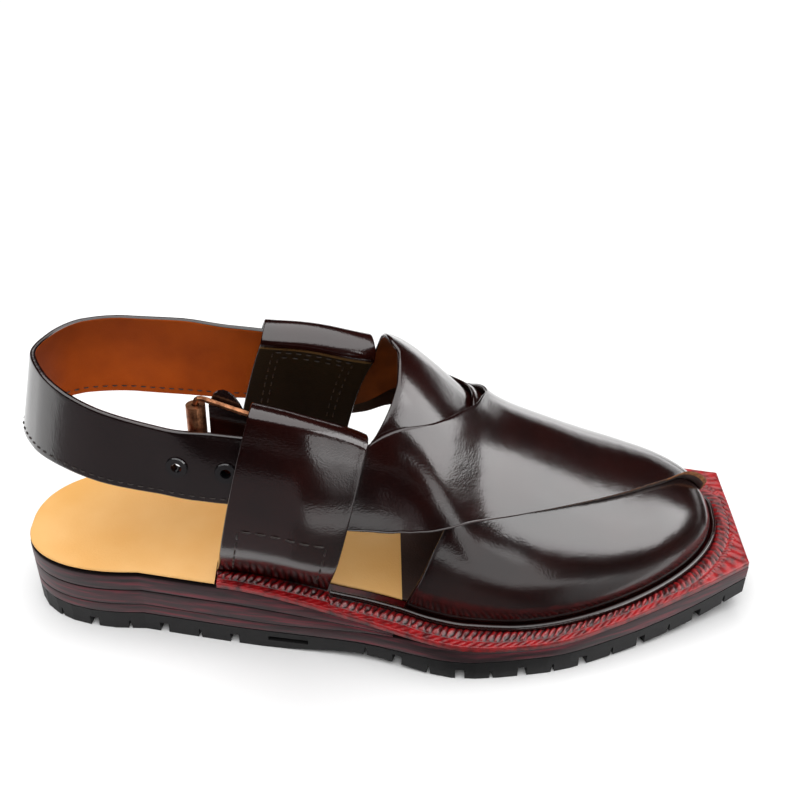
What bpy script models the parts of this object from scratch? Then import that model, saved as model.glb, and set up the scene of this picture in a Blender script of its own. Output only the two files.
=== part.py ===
"""A right peshawari chappal: crossed leather panels on a welted, wedge-heeled, lugged sole.

Metres, +Z up. The toe points along +X and the inner (medial) side of the foot is +Y. The origin is
on the floor under the middle of the heel. While modelling, x runs forward from the back of the heel
and y from the heel's centre line; finish_object moves every piece to the origin.
"""

import math

import bmesh
import bpy
import numpy as np
from mathutils import Matrix

# Sole
SOLE_LENGTH = 0.289
BALL_WIDTH = 0.111
HEEL_SEAT = 0.036           # from the back of the heel to the origin
HEEL_SHIFT = 0.003          # the heel's middle lies this far towards the inner side
HEEL_HEIGHT = 0.0322        # floor to the insole's top at the heel
BALL_HEIGHT = 0.0168        # floor to the welt's top at the ball
TOE_SPRING = 0.0084         # floor to the rubber under the toe
SPRING_CURVE = 2.1          # exponent of that rise
SPRING_SHARE = 0.86         # how much of it the rubber's top takes
ARCH_LIFT = 0.003
RUBBER = 0.0088
WELT_THICK = 0.0027
RUNNER_THICK = 0.0046       # the one leather layer that runs the whole length
WELT_MARGIN = 0.0028        # flat rim outside the carved bead
WELT_LAP = 0.0020           # how far it runs in under the upper
BEAD_WIDTH = 0.0050
BEAD_RISE = 0.0009
BEAD_LIP = 0.0005           # width of its rounded sides
BEAD_LEAST = 0.0012         # where the rim is narrow, the bead keeps this width
TOE_MARGIN = 0.0125         # the sole's rim in front of the upper's toe
CLEARANCE = 0.0003

# Tread
HEEL_PITCH = 0.0285
FORE_PITCH = 0.0242
GAPS = ((0.0260, HEEL_PITCH, 3), (0.1470, FORE_PITCH, 6))   # first from the heel, pitch, count
SLITS = ((0.0120, HEEL_PITCH, 3), (0.1349, FORE_PITCH, 7))
LUG_GAP = 0.0036
LUG_GAP_HEIGHT = 0.0046
LUG_REACH = 0.0110          # how far a gap runs in under the sole
SLIT_WIDTH = 0.0022
SLIT_HEIGHT = 0.0042
ARCH_SLOT = (0.0965, 0.0160, 0.0022)    # start, length and height of the slot in the arch's side
ARCH_SLOT_RISE = 0.0036
ARCH_SLOT_DEPTH = 0.0022
GROOVE_DEPTH = 0.0022
CUT_PAST = 0.004            # how far each cutter stands out of what it cuts

# Upper
INSTEP_HEIGHT = 0.117       # floor to the crest of the last at the instep
TOE_TIP = SOLE_LENGTH - TOE_MARGIN      # front of the last's feather line
TOE_CENTRE = 0.009          # the toe lies this far towards the inner side
PANEL_WALL = 0.0018
PANEL_LAP = 0.0010          # how deep the over panel is let into the under panel
OVER_STEP = 0.0016          # how far it then stands proud of it
OVER_FADE = 0.008           # round the toe's tip the step fades in over this width
INSTEP_WALL = 0.0018
INSTEP_GAP = 0.0008
RAND_WIDTH = 0.0022
RAND_HEIGHT = 0.0022

# Side loops and heel strap
LOOP_WALL = 0.0018
LOOP_OUTER = 0.0051         # middle of the loop's outer leg, outside the last
LOOP_INNER = 0.0063         # middle of its inner leg, inside the last
LOOP_ROUND = 0.55           # height of the fold's round over half its width
STRAP_WALL = 0.0022
STRAP_WIDTH = 0.037
STRAP_HEIGHT = 0.0975       # floor to the strap's middle behind the heel
STRAP_OFFSET = 0.0022       # strap's middle outside the last, in the side loops

# Plan of the sole: share of SOLE_LENGTH, then each side's reach as a share of BALL_WIDTH
PLAN = dict(
    at=(0.162, 0.303, 0.455, 0.606, 0.707, 0.808, 0.909, 1.0),
    lateral=(0.254, 0.331, 0.402, 0.500, 0.477, 0.397, 0.287, 0.169),
    medial=(0.308, 0.288, 0.340, 0.494, 0.507, 0.477, 0.412, 0.332),
)
HEEL_ROUND = 2.3            # exponent of the heel's round back

# Side view of the sole's top: share of length, share of the heel's height above the ball's
TOP_VIEW = dict(
    at=(0.0, 0.283, 0.505, 0.687, 0.889, 1.03),
    rise=(1.0, 1.0, 0.25, 0.0, 0.33, 0.60),
)
ARCH = (0.333, 0.586)       # where the lifted arch begins and ends, as shares of SOLE_LENGTH
SPRING_START = 0.727        # where the rubber begins to rise to the toe
WEDGE = (0.30, 0.56)        # the heel's wedge is full up to the first share and ends at the second

# Plan of the last's feather line: share of TOE_TIP, reach of each side as a share of BALL_WIDTH
FEATHER = dict(
    at=(0.28, 0.36, 0.44, 0.49, 0.535, 0.58, 0.63, 0.69, 0.74),
    lateral=(0.235, 0.258, 0.281, 0.292, 0.318, 0.357, 0.379, 0.382, 0.366),
    medial=(0.199, 0.200, 0.225, 0.248, 0.290, 0.330, 0.366, 0.379, 0.381),
)
TOE_BLEND = 0.69            # the toe's rounding takes over here, as a share of TOE_TIP
TOE_SHAPE = dict(lateral=(1.65, 2.0), medial=(2.2, 2.2))

# Sections of the last: share of TOE_TIP; height of the ridge line as a share of INSTEP_HEIGHT and
# its y as a share of BALL_WIDTH; the slope there, rising to the inner side; then the shape of each
# half: height share where the wall turns, how far it leans out there as a share of the section's
# height, and how broad the shoulder is
SECTIONS = dict(
    at=(0.28, 0.40, 0.485, 0.53, 0.585, 0.645, 0.705, 0.765, 0.855),
    ridge=(1.24, 1.16, 1.035, 1.00, 0.90, 0.735, 0.645, 0.570, 0.460),
    middle=(0.0, 0.0, 0.02, 0.03, 0.03, 0.04, 0.05, 0.06, 0.07),
    slope=(0.0, 0.0, 0.0, 0.0, 0.03, 0.06, 0.08, 0.09, 0.09),
    wall=(0.52, 0.58, 0.80, 0.93, 0.80, 0.64, 0.62, 0.62, 0.66),
    lean_lateral=(0.24, 0.23, 0.17, 0.14, 0.12, 0.12, 0.12, 0.12, 0.13),
    lean_medial=(0.19, 0.18, 0.15, 0.14, 0.11, 0.09, 0.08, 0.08, 0.10),
    shoulder_lateral=(0.80, 0.75, 0.45, 0.36, 0.52, 0.64, 0.66, 0.68, 0.70),
    shoulder_medial=(0.80, 0.75, 0.45, 0.36, 0.38, 0.40, 0.43, 0.46, 0.54),
)
CREST_BLEND = 0.855
CREST_SHAPE = (1.05, 0.48)

# Edges of the panels on the last: share of TOE_TIP, and the place over the last, from -1 at the
# lateral feather line through 0 on the crest to +1 at the medial one. The over panel's foot on the
# inner side and the under panel's on the outer side each pass one more point
OVER_FOOT = (0.76, 1.0)
UNDER_FOOT = (0.77, -1.0)
OVER_REAR = ((0.410, -0.660), (0.494, -0.560), (0.525, -0.525), (0.553, -0.455), (0.583, -0.330),
             (0.610, -0.180), (0.634, -0.040), (0.646, 0.100), (0.638, 0.320), (0.600, 0.600),
             (0.560, 0.820), (0.545, 1.0))
OVER_FRONT = ((0.410, -0.800), (0.500, -0.803), (0.546, -0.787), (0.588, -0.702), (0.634, -0.567),
              (0.691, -0.466), (0.747, -0.386), (0.819, -0.281), (0.872, -0.193), (0.923, -0.083),
              (0.958, 0.060), (0.984, 0.250), (0.990, 0.600), (0.985, 1.0))
UNDER_REAR = ((0.543, -1.0), (0.565, -0.900), (0.579, -0.805), (0.592, -0.710), (0.612, -0.500),
              (0.630, -0.200), (0.634, -0.020), (0.635, 0.100), (0.633, 0.200), (0.628, 0.300),
              (0.616, 0.400), (0.600, 0.480), (0.578, 0.540), (0.550, 0.590), (0.520, 0.620),
              (0.497, 0.640), (0.410, 0.700))
UNDER_FRONT = ((0.9999, -1.0), (0.9999, -0.5), (0.9999, 0.0), (0.9999, 0.5), (0.9990, 0.95),
               (0.960, 0.97), (0.880, 0.90), (0.690, 0.82), (0.495, 0.800), (0.410, 0.800))
INSTEP_REAR = ((0.410, -0.680), (0.496, -0.570), (0.516, -0.485), (0.526, -0.410), (0.535, -0.270),
               (0.537, -0.065), (0.526, 0.120), (0.512, 0.380), (0.498, 0.570), (0.410, 0.680))
INSTEP_FRONT = ((0.410, -0.780), (0.520, -0.740), (0.640, -0.450), (0.705, 0.0), (0.640, 0.450),
                (0.520, 0.740), (0.410, 0.780))

# Side loops: each edge's x at the foot and at the top as shares of TOE_TIP, and the height of the
# last under the fold as a share of INSTEP_HEIGHT, rear edge first
LOOPS = dict(
    lateral=dict(side=-1, foot=(0.2815, 0.436), top=(0.346, 0.490), fold=(0.945, 0.815)),
    medial=dict(side=1, foot=(0.2815, 0.436), top=(0.346, 0.498), fold=(0.912, 0.847)),
)
LOOP_CROWN = 0.017          # how far the fold bulges up between its ends, as the same share
LOOP_CLOSE = 0.30           # below this share of its height a loop's two legs come together
WELT_START = LOOPS["lateral"]["foot"][0] * TOE_TIP - CLEARANCE  # the welt begins at the loops
LOOP_REAR = LOOPS["lateral"]["top"][0] * TOE_TIP    # the lateral loop's rear edge, at the fold
STRAP_SEAT = (LOOP_REAR - 0.0337, LOOP_REAR - 0.0117)   # there it comes to lie against the last

# Buckle and eyelets, placed from the lateral loop's rear edge
WIRE = 0.0020
ROLLER = 0.0068
ROLLER_BORE = 0.0027
BUCKLE_REAR = (LOOP_REAR - 0.0182, 0.0815, 0.1165)  # x, lower and upper end of the roller's bar
BUCKLE_FRONT = (LOOP_REAR + 0.0073, 0.0870, 0.1080) # the same of the bar inside the loop
BUCKLE_CORNER = 0.0035
PRONG_HEIGHT = 0.0975
PRONG_RADII = (0.0009, 0.00064)
TAB_WALL = 0.0012
TAB_OFFSET = 0.0020         # from the middle of the wire to that of the tab
EYELETS = (LOOP_REAR - 0.0255, LOOP_REAR - 0.0085)
EYELET_RADIUS = 0.0040
EYELET_BACK_RADIUS = 0.0030
EYELET_BORE_RADIUS = 0.0019
EYELET_TUBE = 0.0004
EYELET_RIM = 0.0005

# The leather tab behind the buckle, from its free end into the loop: x, lower and upper edge
TAB = dict(
    at=tuple(LOOP_REAR + d for d in (-0.0139, -0.0122, -0.0089, -0.0047, -0.0007, 0.0055)),
    low=(0.0860, 0.0835, 0.0825, 0.0830, 0.0838, 0.0850),
    high=(0.1120, 0.1160, 0.1175, 0.1150, 0.1080, 0.1055),
)

# Heel strap from the medial loop round the heel to the lateral one: share of SOLE_LENGTH, y as a
# share of BALL_WIDTH, middle height as a share of STRAP_HEIGHT, width share, lean inward in degrees
STRAP = dict(
    at=(0.385, 0.325, 0.233, 0.152, 0.090, 0.052, 0.038, 0.060, 0.100, 0.152, 0.212, 0.262, 0.310,
        0.370),
    y=(0.262, 0.272, 0.288, 0.284, 0.240, 0.143, 0.027, -0.100, -0.198, -0.270, -0.312, -0.334,
       -0.345, -0.340),
    height=(0.905, 0.910, 0.928, 0.950, 0.975, 0.990, 1.000, 1.000, 0.992, 0.978, 0.962, 0.945,
            0.932, 0.915),
    width=(0.80, 0.97, 1.02, 1.02, 1.00, 0.96, 0.94, 0.88, 0.82, 0.79, 0.77, 0.76, 0.75, 0.74),
    lean=(0.0, 2.0, 3.0, 5.0, 8.0, 12.0, 14.0, 14.0, 12.0, 9.0, 5.0, 2.0, 0.0, 0.0),
)

# Finish of each piece: base colour, roughness, metallic
FINISHES = dict(
    rubber=((0.025, 0.026, 0.028), 0.6, 0.0),
    stacked_leather=((0.07, 0.010, 0.019), 0.35, 0.0),
    red_welt=((0.35, 0.004, 0.008), 0.25, 0.0),
    oxblood=((0.035, 0.009, 0.007), 0.2, 0.0),
    tan_insole=((0.75, 0.42, 0.14), 0.55, 0.0),
    copper=((0.45, 0.20, 0.10), 0.35, 1.0),
    black_enamel=((0.01, 0.01, 0.01), 0.3, 0.0),
)


def smooth(table, column, at):
    """The column at the places `at`: a smooth curve through the rows that doesn't overshoot."""
    x = np.asarray(table["at"], float)
    y = np.asarray(table[column], float)
    at = np.clip(np.asarray(at, float), x[0], x[-1])
    step = np.diff(x)
    slope = np.diff(y) / step
    bend = np.zeros_like(y)
    for i in range(1, len(x) - 1):
        if slope[i - 1] * slope[i] > 0:
            a, b = 2 * step[i] + step[i - 1], step[i] + 2 * step[i - 1]
            bend[i] = (a + b) / (a / slope[i - 1] + b / slope[i])
    bend[0], bend[-1] = slope[0], slope[-1]
    i = np.clip(np.searchsorted(x, at, side="right") - 1, 0, len(step) - 1)
    h = step[i]
    t = (at - x[i]) / h
    return (
        y[i] * (1 + 2 * t) * (1 - t) ** 2
        + bend[i] * h * t * (1 - t) ** 2
        + y[i + 1] * t * t * (3 - 2 * t)
        + bend[i + 1] * h * t * t * (t - 1)
    )


def through(points, shares):
    """A smooth curve through 2-D points, read at shares of its length."""
    points = np.asarray(points, float)
    scale = np.array([SOLE_LENGTH, BALL_WIDTH])
    chord = np.r_[0.0, np.cumsum(np.linalg.norm(np.diff(points * scale, axis=0), axis=1))]
    chord /= chord[-1]
    columns = [smooth(dict(at=chord, v=points[:, k]), "v", shares) for k in range(2)]
    return np.stack(columns, axis=-1)


def sole_top(x):
    span = HEEL_HEIGHT - BALL_HEIGHT
    return BALL_HEIGHT + span * smooth(TOP_VIEW, "rise", np.asarray(x) / SOLE_LENGTH)


def sole_bottom(x):
    """Flat under the heel and the ball, lifted at the arch, sprung at the toe."""
    share = np.asarray(x, float) / SOLE_LENGTH
    arch = np.clip((share - ARCH[0]) / (ARCH[1] - ARCH[0]), 0, 1)
    toe = np.clip((share - SPRING_START) / (1 - SPRING_START), 0, 1)
    return ARCH_LIFT * np.sin(math.pi * arch) ** 2 + TOE_SPRING * toe ** SPRING_CURVE


def sole_side(side, x):
    """The sole's reach to one side, without its round back."""
    return BALL_WIDTH * smooth(PLAN, side, np.asarray(x) / SOLE_LENGTH)


def footprint(inset=0.0, heel_steps=8, steps=26):
    """Matching points along the lateral and the medial edge, from the back of the heel to the toe."""
    start = PLAN["at"][0] * SOLE_LENGTH
    turn = np.radians(np.linspace(5, 90, heel_steps))
    ahead = np.linspace(start, SOLE_LENGTH, steps + 1)[1:]
    edges = []
    for side, sign in (("lateral", -1), ("medial", 1)):
        back_x = start * (1 - np.cos(turn) ** (2 / HEEL_ROUND))
        back_y = sole_side(side, start) * np.sin(turn) ** (2 / HEEL_ROUND)
        x = np.r_[back_x, ahead]
        y = np.r_[back_y, sole_side(side, ahead)]
        run = np.stack([np.gradient(x), np.gradient(y)], axis=-1)
        run /= np.linalg.norm(run, axis=1)[:, None]
        x, y = x + inset * run[:, 1], y - inset * run[:, 0]
        x[-1] -= inset
        edges.append(np.stack([x, sign * y], axis=-1))
    return edges


def feather(side, x):
    """The y of the line where the upper meets the sole, at x; both sides meet at the toe's tip."""
    x = np.asarray(x, float)
    sign = 1 if side == "medial" else -1
    reach = BALL_WIDTH * smooth(FEATHER, side, x / TOE_TIP)
    blend = TOE_BLEND * TOE_TIP
    widest = BALL_WIDTH * smooth(FEATHER, side, TOE_BLEND) - sign * TOE_CENTRE
    along = np.clip((x - blend) / (TOE_TIP - blend), 0, 1)
    p, q = TOE_SHAPE[side]
    rounded = sign * TOE_CENTRE + widest * (1 - along ** p) ** (1 / q)
    return sign * np.where(x < blend, reach, rounded)


def crest_height(x):
    x = np.asarray(x, float)
    blend = CREST_BLEND * TOE_TIP
    along = np.clip((x - blend) / (TOE_TIP - blend), 0, 1)
    p, q = CREST_SHAPE
    full = INSTEP_HEIGHT * smooth(SECTIONS, "ridge", CREST_BLEND) - base_height(blend)
    toe = base_height(x) + full * (1 - along ** p) ** q
    return np.where(x < blend, INSTEP_HEIGHT * smooth(SECTIONS, "ridge", x / TOE_TIP), toe)


def base_height(x):
    return sole_top(x) + CLEARANCE


def last_point(x, place):
    """A point on the last: x from the heel, place from -1 (lateral feather) over 0 to +1 (medial)."""
    x, place = np.broadcast_arrays(np.asarray(x, float), np.asarray(place, float))
    share = x / TOE_TIP
    base_y = np.where(place < 0, feather("lateral", x), feather("medial", x))
    base_z = base_height(x)
    top_z = crest_height(x)
    height = top_z - base_z
    blend = TOE_BLEND * TOE_TIP
    along = np.clip((x - blend) / (TOE_TIP - blend), 0, 1)
    crest_y = BALL_WIDTH * smooth(SECTIONS, "middle", share)
    crest_y = crest_y + (TOE_CENTRE - crest_y) * along ** 2
    lean, shoulder = (
        np.where(place < 0, smooth(SECTIONS, name + "_lateral", share),
                 smooth(SECTIONS, name + "_medial", share))
        for name in ("lean", "shoulder")
    )
    wall_y = base_y + np.sign(place) * height * lean
    wall_z = base_z + height * smooth(SECTIONS, "wall", share)
    shoulder_y = crest_y + (base_y - crest_y) * shoulder
    shoulder_z = top_z + (shoulder_y - crest_y) * smooth(SECTIONS, "slope", share)
    t = 1 - np.abs(place)
    weights = ((1 - t) ** 3, 3 * (1 - t) ** 2 * t, 3 * (1 - t) * t * t, t ** 3)
    y = sum(w * v for w, v in zip(weights, (base_y, wall_y, shoulder_y, crest_y)))
    z = sum(w * v for w, v in zip(weights, (base_z, wall_z, shoulder_z, top_z)))
    return np.stack([x, y, z], axis=-1)


def last_normal(x, place):
    """Outward unit normal of the last."""
    x, place = np.broadcast_arrays(np.asarray(x, float), np.asarray(place, float))
    dx, dp = 2e-5, 1e-3
    ahead = np.minimum(x + dx, TOE_TIP - 1e-6)
    along = last_point(ahead, place) - last_point(ahead - 2 * dx, place)
    low, high = np.clip(place - dp, -1, 1), np.clip(place + dp, -1, 1)
    across = last_point(x, high) - last_point(x, low)
    normal = np.cross(along, across)
    return normal / np.linalg.norm(normal, axis=-1)[..., None]


def off_last(x, place, offset):
    """The last's surface moved out by offset; along the feather line it moves level."""
    normal = last_normal(x, place)
    level = normal * np.array([1.0, 1.0, 0.0])
    level /= np.linalg.norm(level, axis=-1)[..., None]
    on_base = (np.abs(place) > 0.999)[..., None]
    normal = np.where(on_base, level, normal)
    moved = last_point(x, place) + normal * np.asarray(offset)[..., None]
    moved[..., 2] = np.maximum(moved[..., 2], base_height(moved[..., 0]))
    return moved


def wall_place(side, x, z):
    """The place on one side of the last where its section at x reaches the height z."""
    places = np.linspace(1, 0.02, 120)
    heights = last_point(x, side * places)[:, 2]
    return side * float(np.interp(z, heights, places))


def patch(rear, front, start, end, across, along):
    """A four-sided grid of (x share, place) between a rear and a front edge and two end edges."""
    s = np.linspace(0, 1, across)
    t = np.sin(np.linspace(0, math.pi / 2, along))
    r, f = through(rear, s), through(front, s)
    a, b = through(start, t), through(end, t)
    s, t = s[:, None, None], t[None, :, None]
    sides = (1 - t) * r[:, None] + t * f[:, None] + (1 - s) * a[None] + s * b[None]
    corners = (
        (1 - s) * (1 - t) * r[0] + s * (1 - t) * r[-1] + (1 - s) * t * f[0] + s * t * f[-1]
    )
    grid = sides - corners
    return grid[..., 0] * TOE_TIP, grid[..., 1]


def over_patch(across=34, along=13):
    start = (OVER_REAR[0], OVER_FRONT[0])
    end = (OVER_REAR[-1], OVER_FOOT, OVER_FRONT[-1])
    return patch(OVER_REAR, OVER_FRONT, start, end, across, along)


def under_patch(across=34, along=13):
    start = (UNDER_REAR[0], UNDER_FOOT, UNDER_FRONT[0])
    end = (UNDER_REAR[-1], UNDER_FRONT[-1])
    return patch(UNDER_REAR, UNDER_FRONT, start, end, across, along)


def instep_patch(across=27, along=7):
    start = (INSTEP_REAR[0], INSTEP_FRONT[0])
    end = (INSTEP_REAR[-1], INSTEP_FRONT[-1])
    return patch(INSTEP_REAR, INSTEP_FRONT, start, end, across, along)


def material(finish):
    found = bpy.data.materials.get(finish)
    if found:
        return found
    colour, roughness, metallic = FINISHES[finish]
    made = bpy.data.materials.new(finish)
    made.use_nodes = True
    shader = made.node_tree.nodes["Principled BSDF"]
    shader.inputs["Base Color"].default_value = (*colour, 1.0)
    shader.inputs["Roughness"].default_value = roughness
    shader.inputs["Metallic"].default_value = metallic
    return made


def finish_object(name, mesh, finish, cutter=False):
    mesh.transform(Matrix.Translation((-HEEL_SEAT, -HEEL_SHIFT, 0.0)))
    mesh.validate()
    made = bpy.data.objects.new(name, mesh)
    bpy.context.scene.collection.objects.link(made)
    if cutter:
        made.hide_render = True
        made.display_type = "WIRE"
        return made
    mesh.materials.append(material(finish))
    mesh.shade_smooth()
    mesh.set_sharp_from_angle(angle=math.radians(35))
    return made


def mesh_of(name, points, faces):
    """A mesh with its faces pointing out, from points and faces as index tuples."""
    work = bmesh.new()
    corners = [work.verts.new(p) for p in points]
    for face in faces:
        work.faces.new([corners[i] for i in face])
    bmesh.ops.recalc_face_normals(work, faces=work.faces)
    mesh = bpy.data.meshes.new(name)
    work.to_mesh(mesh)
    work.free()
    return mesh


def slab_mesh(name, inner, outer):
    """A closed wall between two matching grids of points."""
    rows, columns = inner.shape[:2]
    count = rows * columns
    points = np.concatenate([inner.reshape(-1, 3), outer.reshape(-1, 3)])
    at = np.arange(count).reshape(rows, columns)
    faces = []
    for i in range(rows - 1):
        for j in range(columns - 1):
            quad = (at[i, j], at[i + 1, j], at[i + 1, j + 1], at[i, j + 1])
            faces.append(quad)
            faces.append(tuple(k + count for k in reversed(quad)))
    rim = np.r_[at[:-1, 0], at[-1, :-1], at[:0:-1, -1], at[0, :0:-1]]
    for a, b in zip(rim, np.roll(rim, -1)):
        faces.append((b, a, a + count, b + count))
    return mesh_of(name, points.tolist(), faces)


def grid_normals(grid):
    along = np.gradient(grid, axis=0)
    across = np.gradient(grid, axis=1)
    normal = np.cross(along, across)
    return normal / np.linalg.norm(normal, axis=-1)[..., None]


def loft_mesh(name, rings):
    """A closed solid through matching rings of points, with flat ends."""
    rings = np.asarray(rings)
    count, size = rings.shape[:2]
    at = np.arange(count * size).reshape(count, size)
    faces = [tuple(at[0]), tuple(reversed(at[-1]))]
    for i in range(count - 1):
        for j in range(size):
            k = (j + 1) % size
            faces.append((at[i, j], at[i + 1, j], at[i + 1, k], at[i, k]))
    return mesh_of(name, rings.reshape(-1, 3).tolist(), faces)


def layer_rings(lateral, medial, bottom, top):
    """Rings of a layer that is flat from side to side, between two heights given along x."""
    rings = []
    for (lx, ly), (mx, my) in zip(lateral, medial):
        rings.append(
            [(lx, ly, bottom(lx)), (mx, my, bottom(mx)), (mx, my, top(mx)), (lx, ly, top(lx))]
        )
    return rings


def make_outsole():
    lateral, medial = footprint()
    rings = layer_rings(lateral, medial, sole_bottom, rubber_top)
    sole = finish_object("outsole", loft_mesh("outsole", rings), "rubber")
    sides = finish_object("lug_gap_cutter", box_mesh("lug_gap_cutter", side_gaps()), None, True)
    grooves = finish_object("groove_cutter", box_mesh("groove_cutter", cross_grooves()), None, True)
    for cutter in (sides, grooves):
        cut = sole.modifiers.new(cutter.name, "BOOLEAN")
        cut.operation = "DIFFERENCE"
        cut.object = cutter
    return sole


def rubber_top(x):
    """The rubber keeps its thickness but follows the spring of the toe."""
    share = np.clip(np.asarray(x, float) / SOLE_LENGTH, 0, 1)
    toe = np.clip((share - SPRING_START) / (1 - SPRING_START), 0, 1)
    return RUBBER + TOE_SPRING * SPRING_SHARE * toe ** SPRING_CURVE


def edge_frames(side, places):
    """Points on the sole's edge with the inward direction there, at lengths along x."""
    lateral, medial = footprint(heel_steps=30, steps=120)
    edge = lateral if side == "lateral" else medial
    x = np.asarray(places, float)
    y = np.interp(x, edge[:, 0], edge[:, 1])
    ahead = np.interp(x + 0.001, edge[:, 0], edge[:, 1])
    behind = np.interp(x - 0.001, edge[:, 0], edge[:, 1])
    slope = (ahead - behind) / 0.002
    sign = 1 if side == "lateral" else -1
    inward = np.stack([-sign * slope, np.full_like(slope, sign)], axis=-1)
    inward /= np.linalg.norm(inward, axis=1)[:, None]
    return np.stack([x, y], axis=-1), inward


def prism(foot, inward, half_low, half_high, reach, low, high):
    """Eight corners of a cutter that stands across the edge, narrower or not at its top."""
    forward = np.array([inward[1], -inward[0]])
    corners = []
    for z, half in ((low, half_low), (high, half_high)):
        for a, b in ((-CUT_PAST, -1), (reach, -1), (reach, 1), (-CUT_PAST, 1)):
            at = foot + inward * a + forward * b * half
            corners.append((at[0], at[1], z))
    return corners


def lug_places(groups):
    return np.concatenate([first + pitch * np.arange(count) for first, pitch, count in groups])


def side_gaps():
    """Square gaps and narrow slits take turns round both sides of the tread."""
    boxes = []
    kinds = (
        (lug_places(GAPS), LUG_GAP / 2, LUG_GAP / 2, LUG_GAP_HEIGHT, LUG_REACH),
        (lug_places(SLITS), SLIT_WIDTH / 2, CLEARANCE, SLIT_HEIGHT, LUG_REACH * 0.6),
    )
    for side in ("lateral", "medial"):
        for places, low, high, height, reach in kinds:
            for foot, inward in zip(*edge_frames(side, places)):
                floor = float(sole_bottom(foot[0]))
                boxes.append(prism(foot, inward, low, high, reach, floor - CUT_PAST, floor + height))
        start, length, height = ARCH_SLOT
        (foot,), (inward,) = edge_frames(side, [start + length / 2])
        floor = float(sole_bottom(foot[0])) + ARCH_SLOT_RISE
        half = length / 2
        boxes.append(prism(foot, inward, half, half, ARCH_SLOT_DEPTH, floor, floor + height))
    return boxes


def cross_grooves():
    """Shallow grooves run across the tread between the gaps of its two sides."""
    boxes = []
    lateral, medial = footprint(heel_steps=30, steps=120)
    for x in lug_places(GAPS):
        start = np.interp(x, *lateral.T) + LUG_REACH - 0.001
        end = np.interp(x, *medial.T) - LUG_REACH + 0.001
        floor = float(sole_bottom(x))
        corners = []
        for z in (floor - CUT_PAST, floor + GROOVE_DEPTH):
            for a, b in ((start, -1), (end, -1), (end, 1), (start, 1)):
                corners.append((x + b * LUG_GAP / 3, a, z))
        boxes.append(corners)
    return boxes


def box_mesh(name, boxes):
    points, faces = [], []
    sides = ((0, 1, 2, 3), (7, 6, 5, 4), (0, 4, 5, 1), (1, 5, 6, 2), (2, 6, 7, 3), (3, 7, 4, 0))
    for box in boxes:
        start = len(points)
        points.extend(box)
        faces.extend(tuple(start + i for i in side) for side in sides)
    return mesh_of(name, points, faces)


def deck(x):
    """The top of the leather layers, which the welt and the insole lie on."""
    return sole_top(x) - WELT_THICK


def wedge_height(x):
    """Height of the heel's wedge, which lies on the runner and fades out before the ball."""
    full = deck(0.0) - rubber_top(0.0) - CLEARANCE - RUNNER_THICK
    start, end = (share * SOLE_LENGTH for share in WEDGE)
    fade = np.clip((np.asarray(x, float) - start) / (end - start), 0, 1)
    return full * (1 - fade * fade * (3 - 2 * fade))


def make_midsole():
    """A full-length runner, and on it the two wedge layers of the heel."""
    lateral, medial = footprint()

    def runner_top(x):
        return deck(x) - wedge_height(x)

    runner = layer_rings(lateral, medial, lambda x: rubber_top(x) + CLEARANCE, runner_top)
    finish_object("midsole_runner", loft_mesh("midsole_runner", runner), "stacked_leather")
    for name, low, high in (("heel_lift_lower", 0.0, 0.5), ("heel_lift_upper", 0.5, 1.0)):
        keep = wedge_height(lateral[:, 0]) * 0.5 > 3 * CLEARANCE
        rings = layer_rings(
            lateral[keep],
            medial[keep],
            lambda x: runner_top(x) + wedge_height(x) * low + CLEARANCE,
            lambda x: runner_top(x) + wedge_height(x) * high,
        )
        finish_object(name, loft_mesh(name, rings), "stacked_leather")


def stations():
    """Lines across the shoe's edge: at fixed x along the sides, and as rays round the toe."""
    hub = np.array([0.72 * SOLE_LENGTH, TOE_CENTRE])
    corners = []
    for side, sign in (("lateral", -1), ("medial", 1)):
        corner = np.array([SOLE_LENGTH, sign * float(sole_side(side, SOLE_LENGTH))]) - hub
        corners.append(math.atan2(corner[1], corner[0]))
    straight = np.linspace(WELT_START + CLEARANCE, hub[0], 14)
    first = np.linspace(-math.pi / 2, corners[0], 9)[1:]
    middle = np.linspace(corners[0], corners[1], 9)[1:]
    last = np.linspace(corners[1], math.pi / 2, 8)[1:-1]
    rays = []
    for x in straight:
        rays.append((np.array([x, hub[1]]), np.array([0.0, -1.0])))
    for turn in np.r_[first, middle, last]:
        rays.append((hub, np.array([math.cos(turn), math.sin(turn)])))
    for x in straight[::-1]:
        rays.append((np.array([x, hub[1]]), np.array([0.0, 1.0])))
    return rays


def crossing(line, ray):
    """How far along the ray the line of points is met."""
    start, way = ray
    side = np.array([-way[1], way[0]])
    off = (line - start) @ side
    far = (line - start) @ way
    found = []
    for i in range(len(line) - 1):
        if (off[i] <= 0) != (off[i + 1] <= 0):
            t = off[i] / (off[i] - off[i + 1])
            found.append(far[i] + t * (far[i + 1] - far[i]))
    return max(found)


def sole_line():
    lateral, medial = footprint(heel_steps=20, steps=150)
    return np.concatenate([lateral, medial[::-1]])


def feather_line(offset):
    """The feather line from the lateral start round the toe to the medial one, moved outward."""
    x = TOE_TIP * np.sin(np.linspace(math.asin(0.25), math.pi / 2, 160))
    lateral = np.stack([x, feather("lateral", x)], axis=-1)
    medial = np.stack([x, feather("medial", x)], axis=-1)[::-1][1:]
    line = np.concatenate([lateral, medial])
    run = np.gradient(line, axis=0)
    run /= np.linalg.norm(run, axis=1)[:, None]
    return line + offset * np.stack([run[:, 1], -run[:, 0]], axis=-1)


def upper_foot(ray):
    """How far along the ray the upper's outer face is met at its foot, with a clearance."""
    start, way = ray
    thick = PANEL_WALL + 2 * CLEARANCE
    near, far = (crossing(feather_line(t), ray) for t in (thick, thick + OVER_STEP))
    over = min(max((start[1] + way[1] * near - TOE_CENTRE) / OVER_FADE, 0.0), 1.0)
    return near + (far - near) * over


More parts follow.
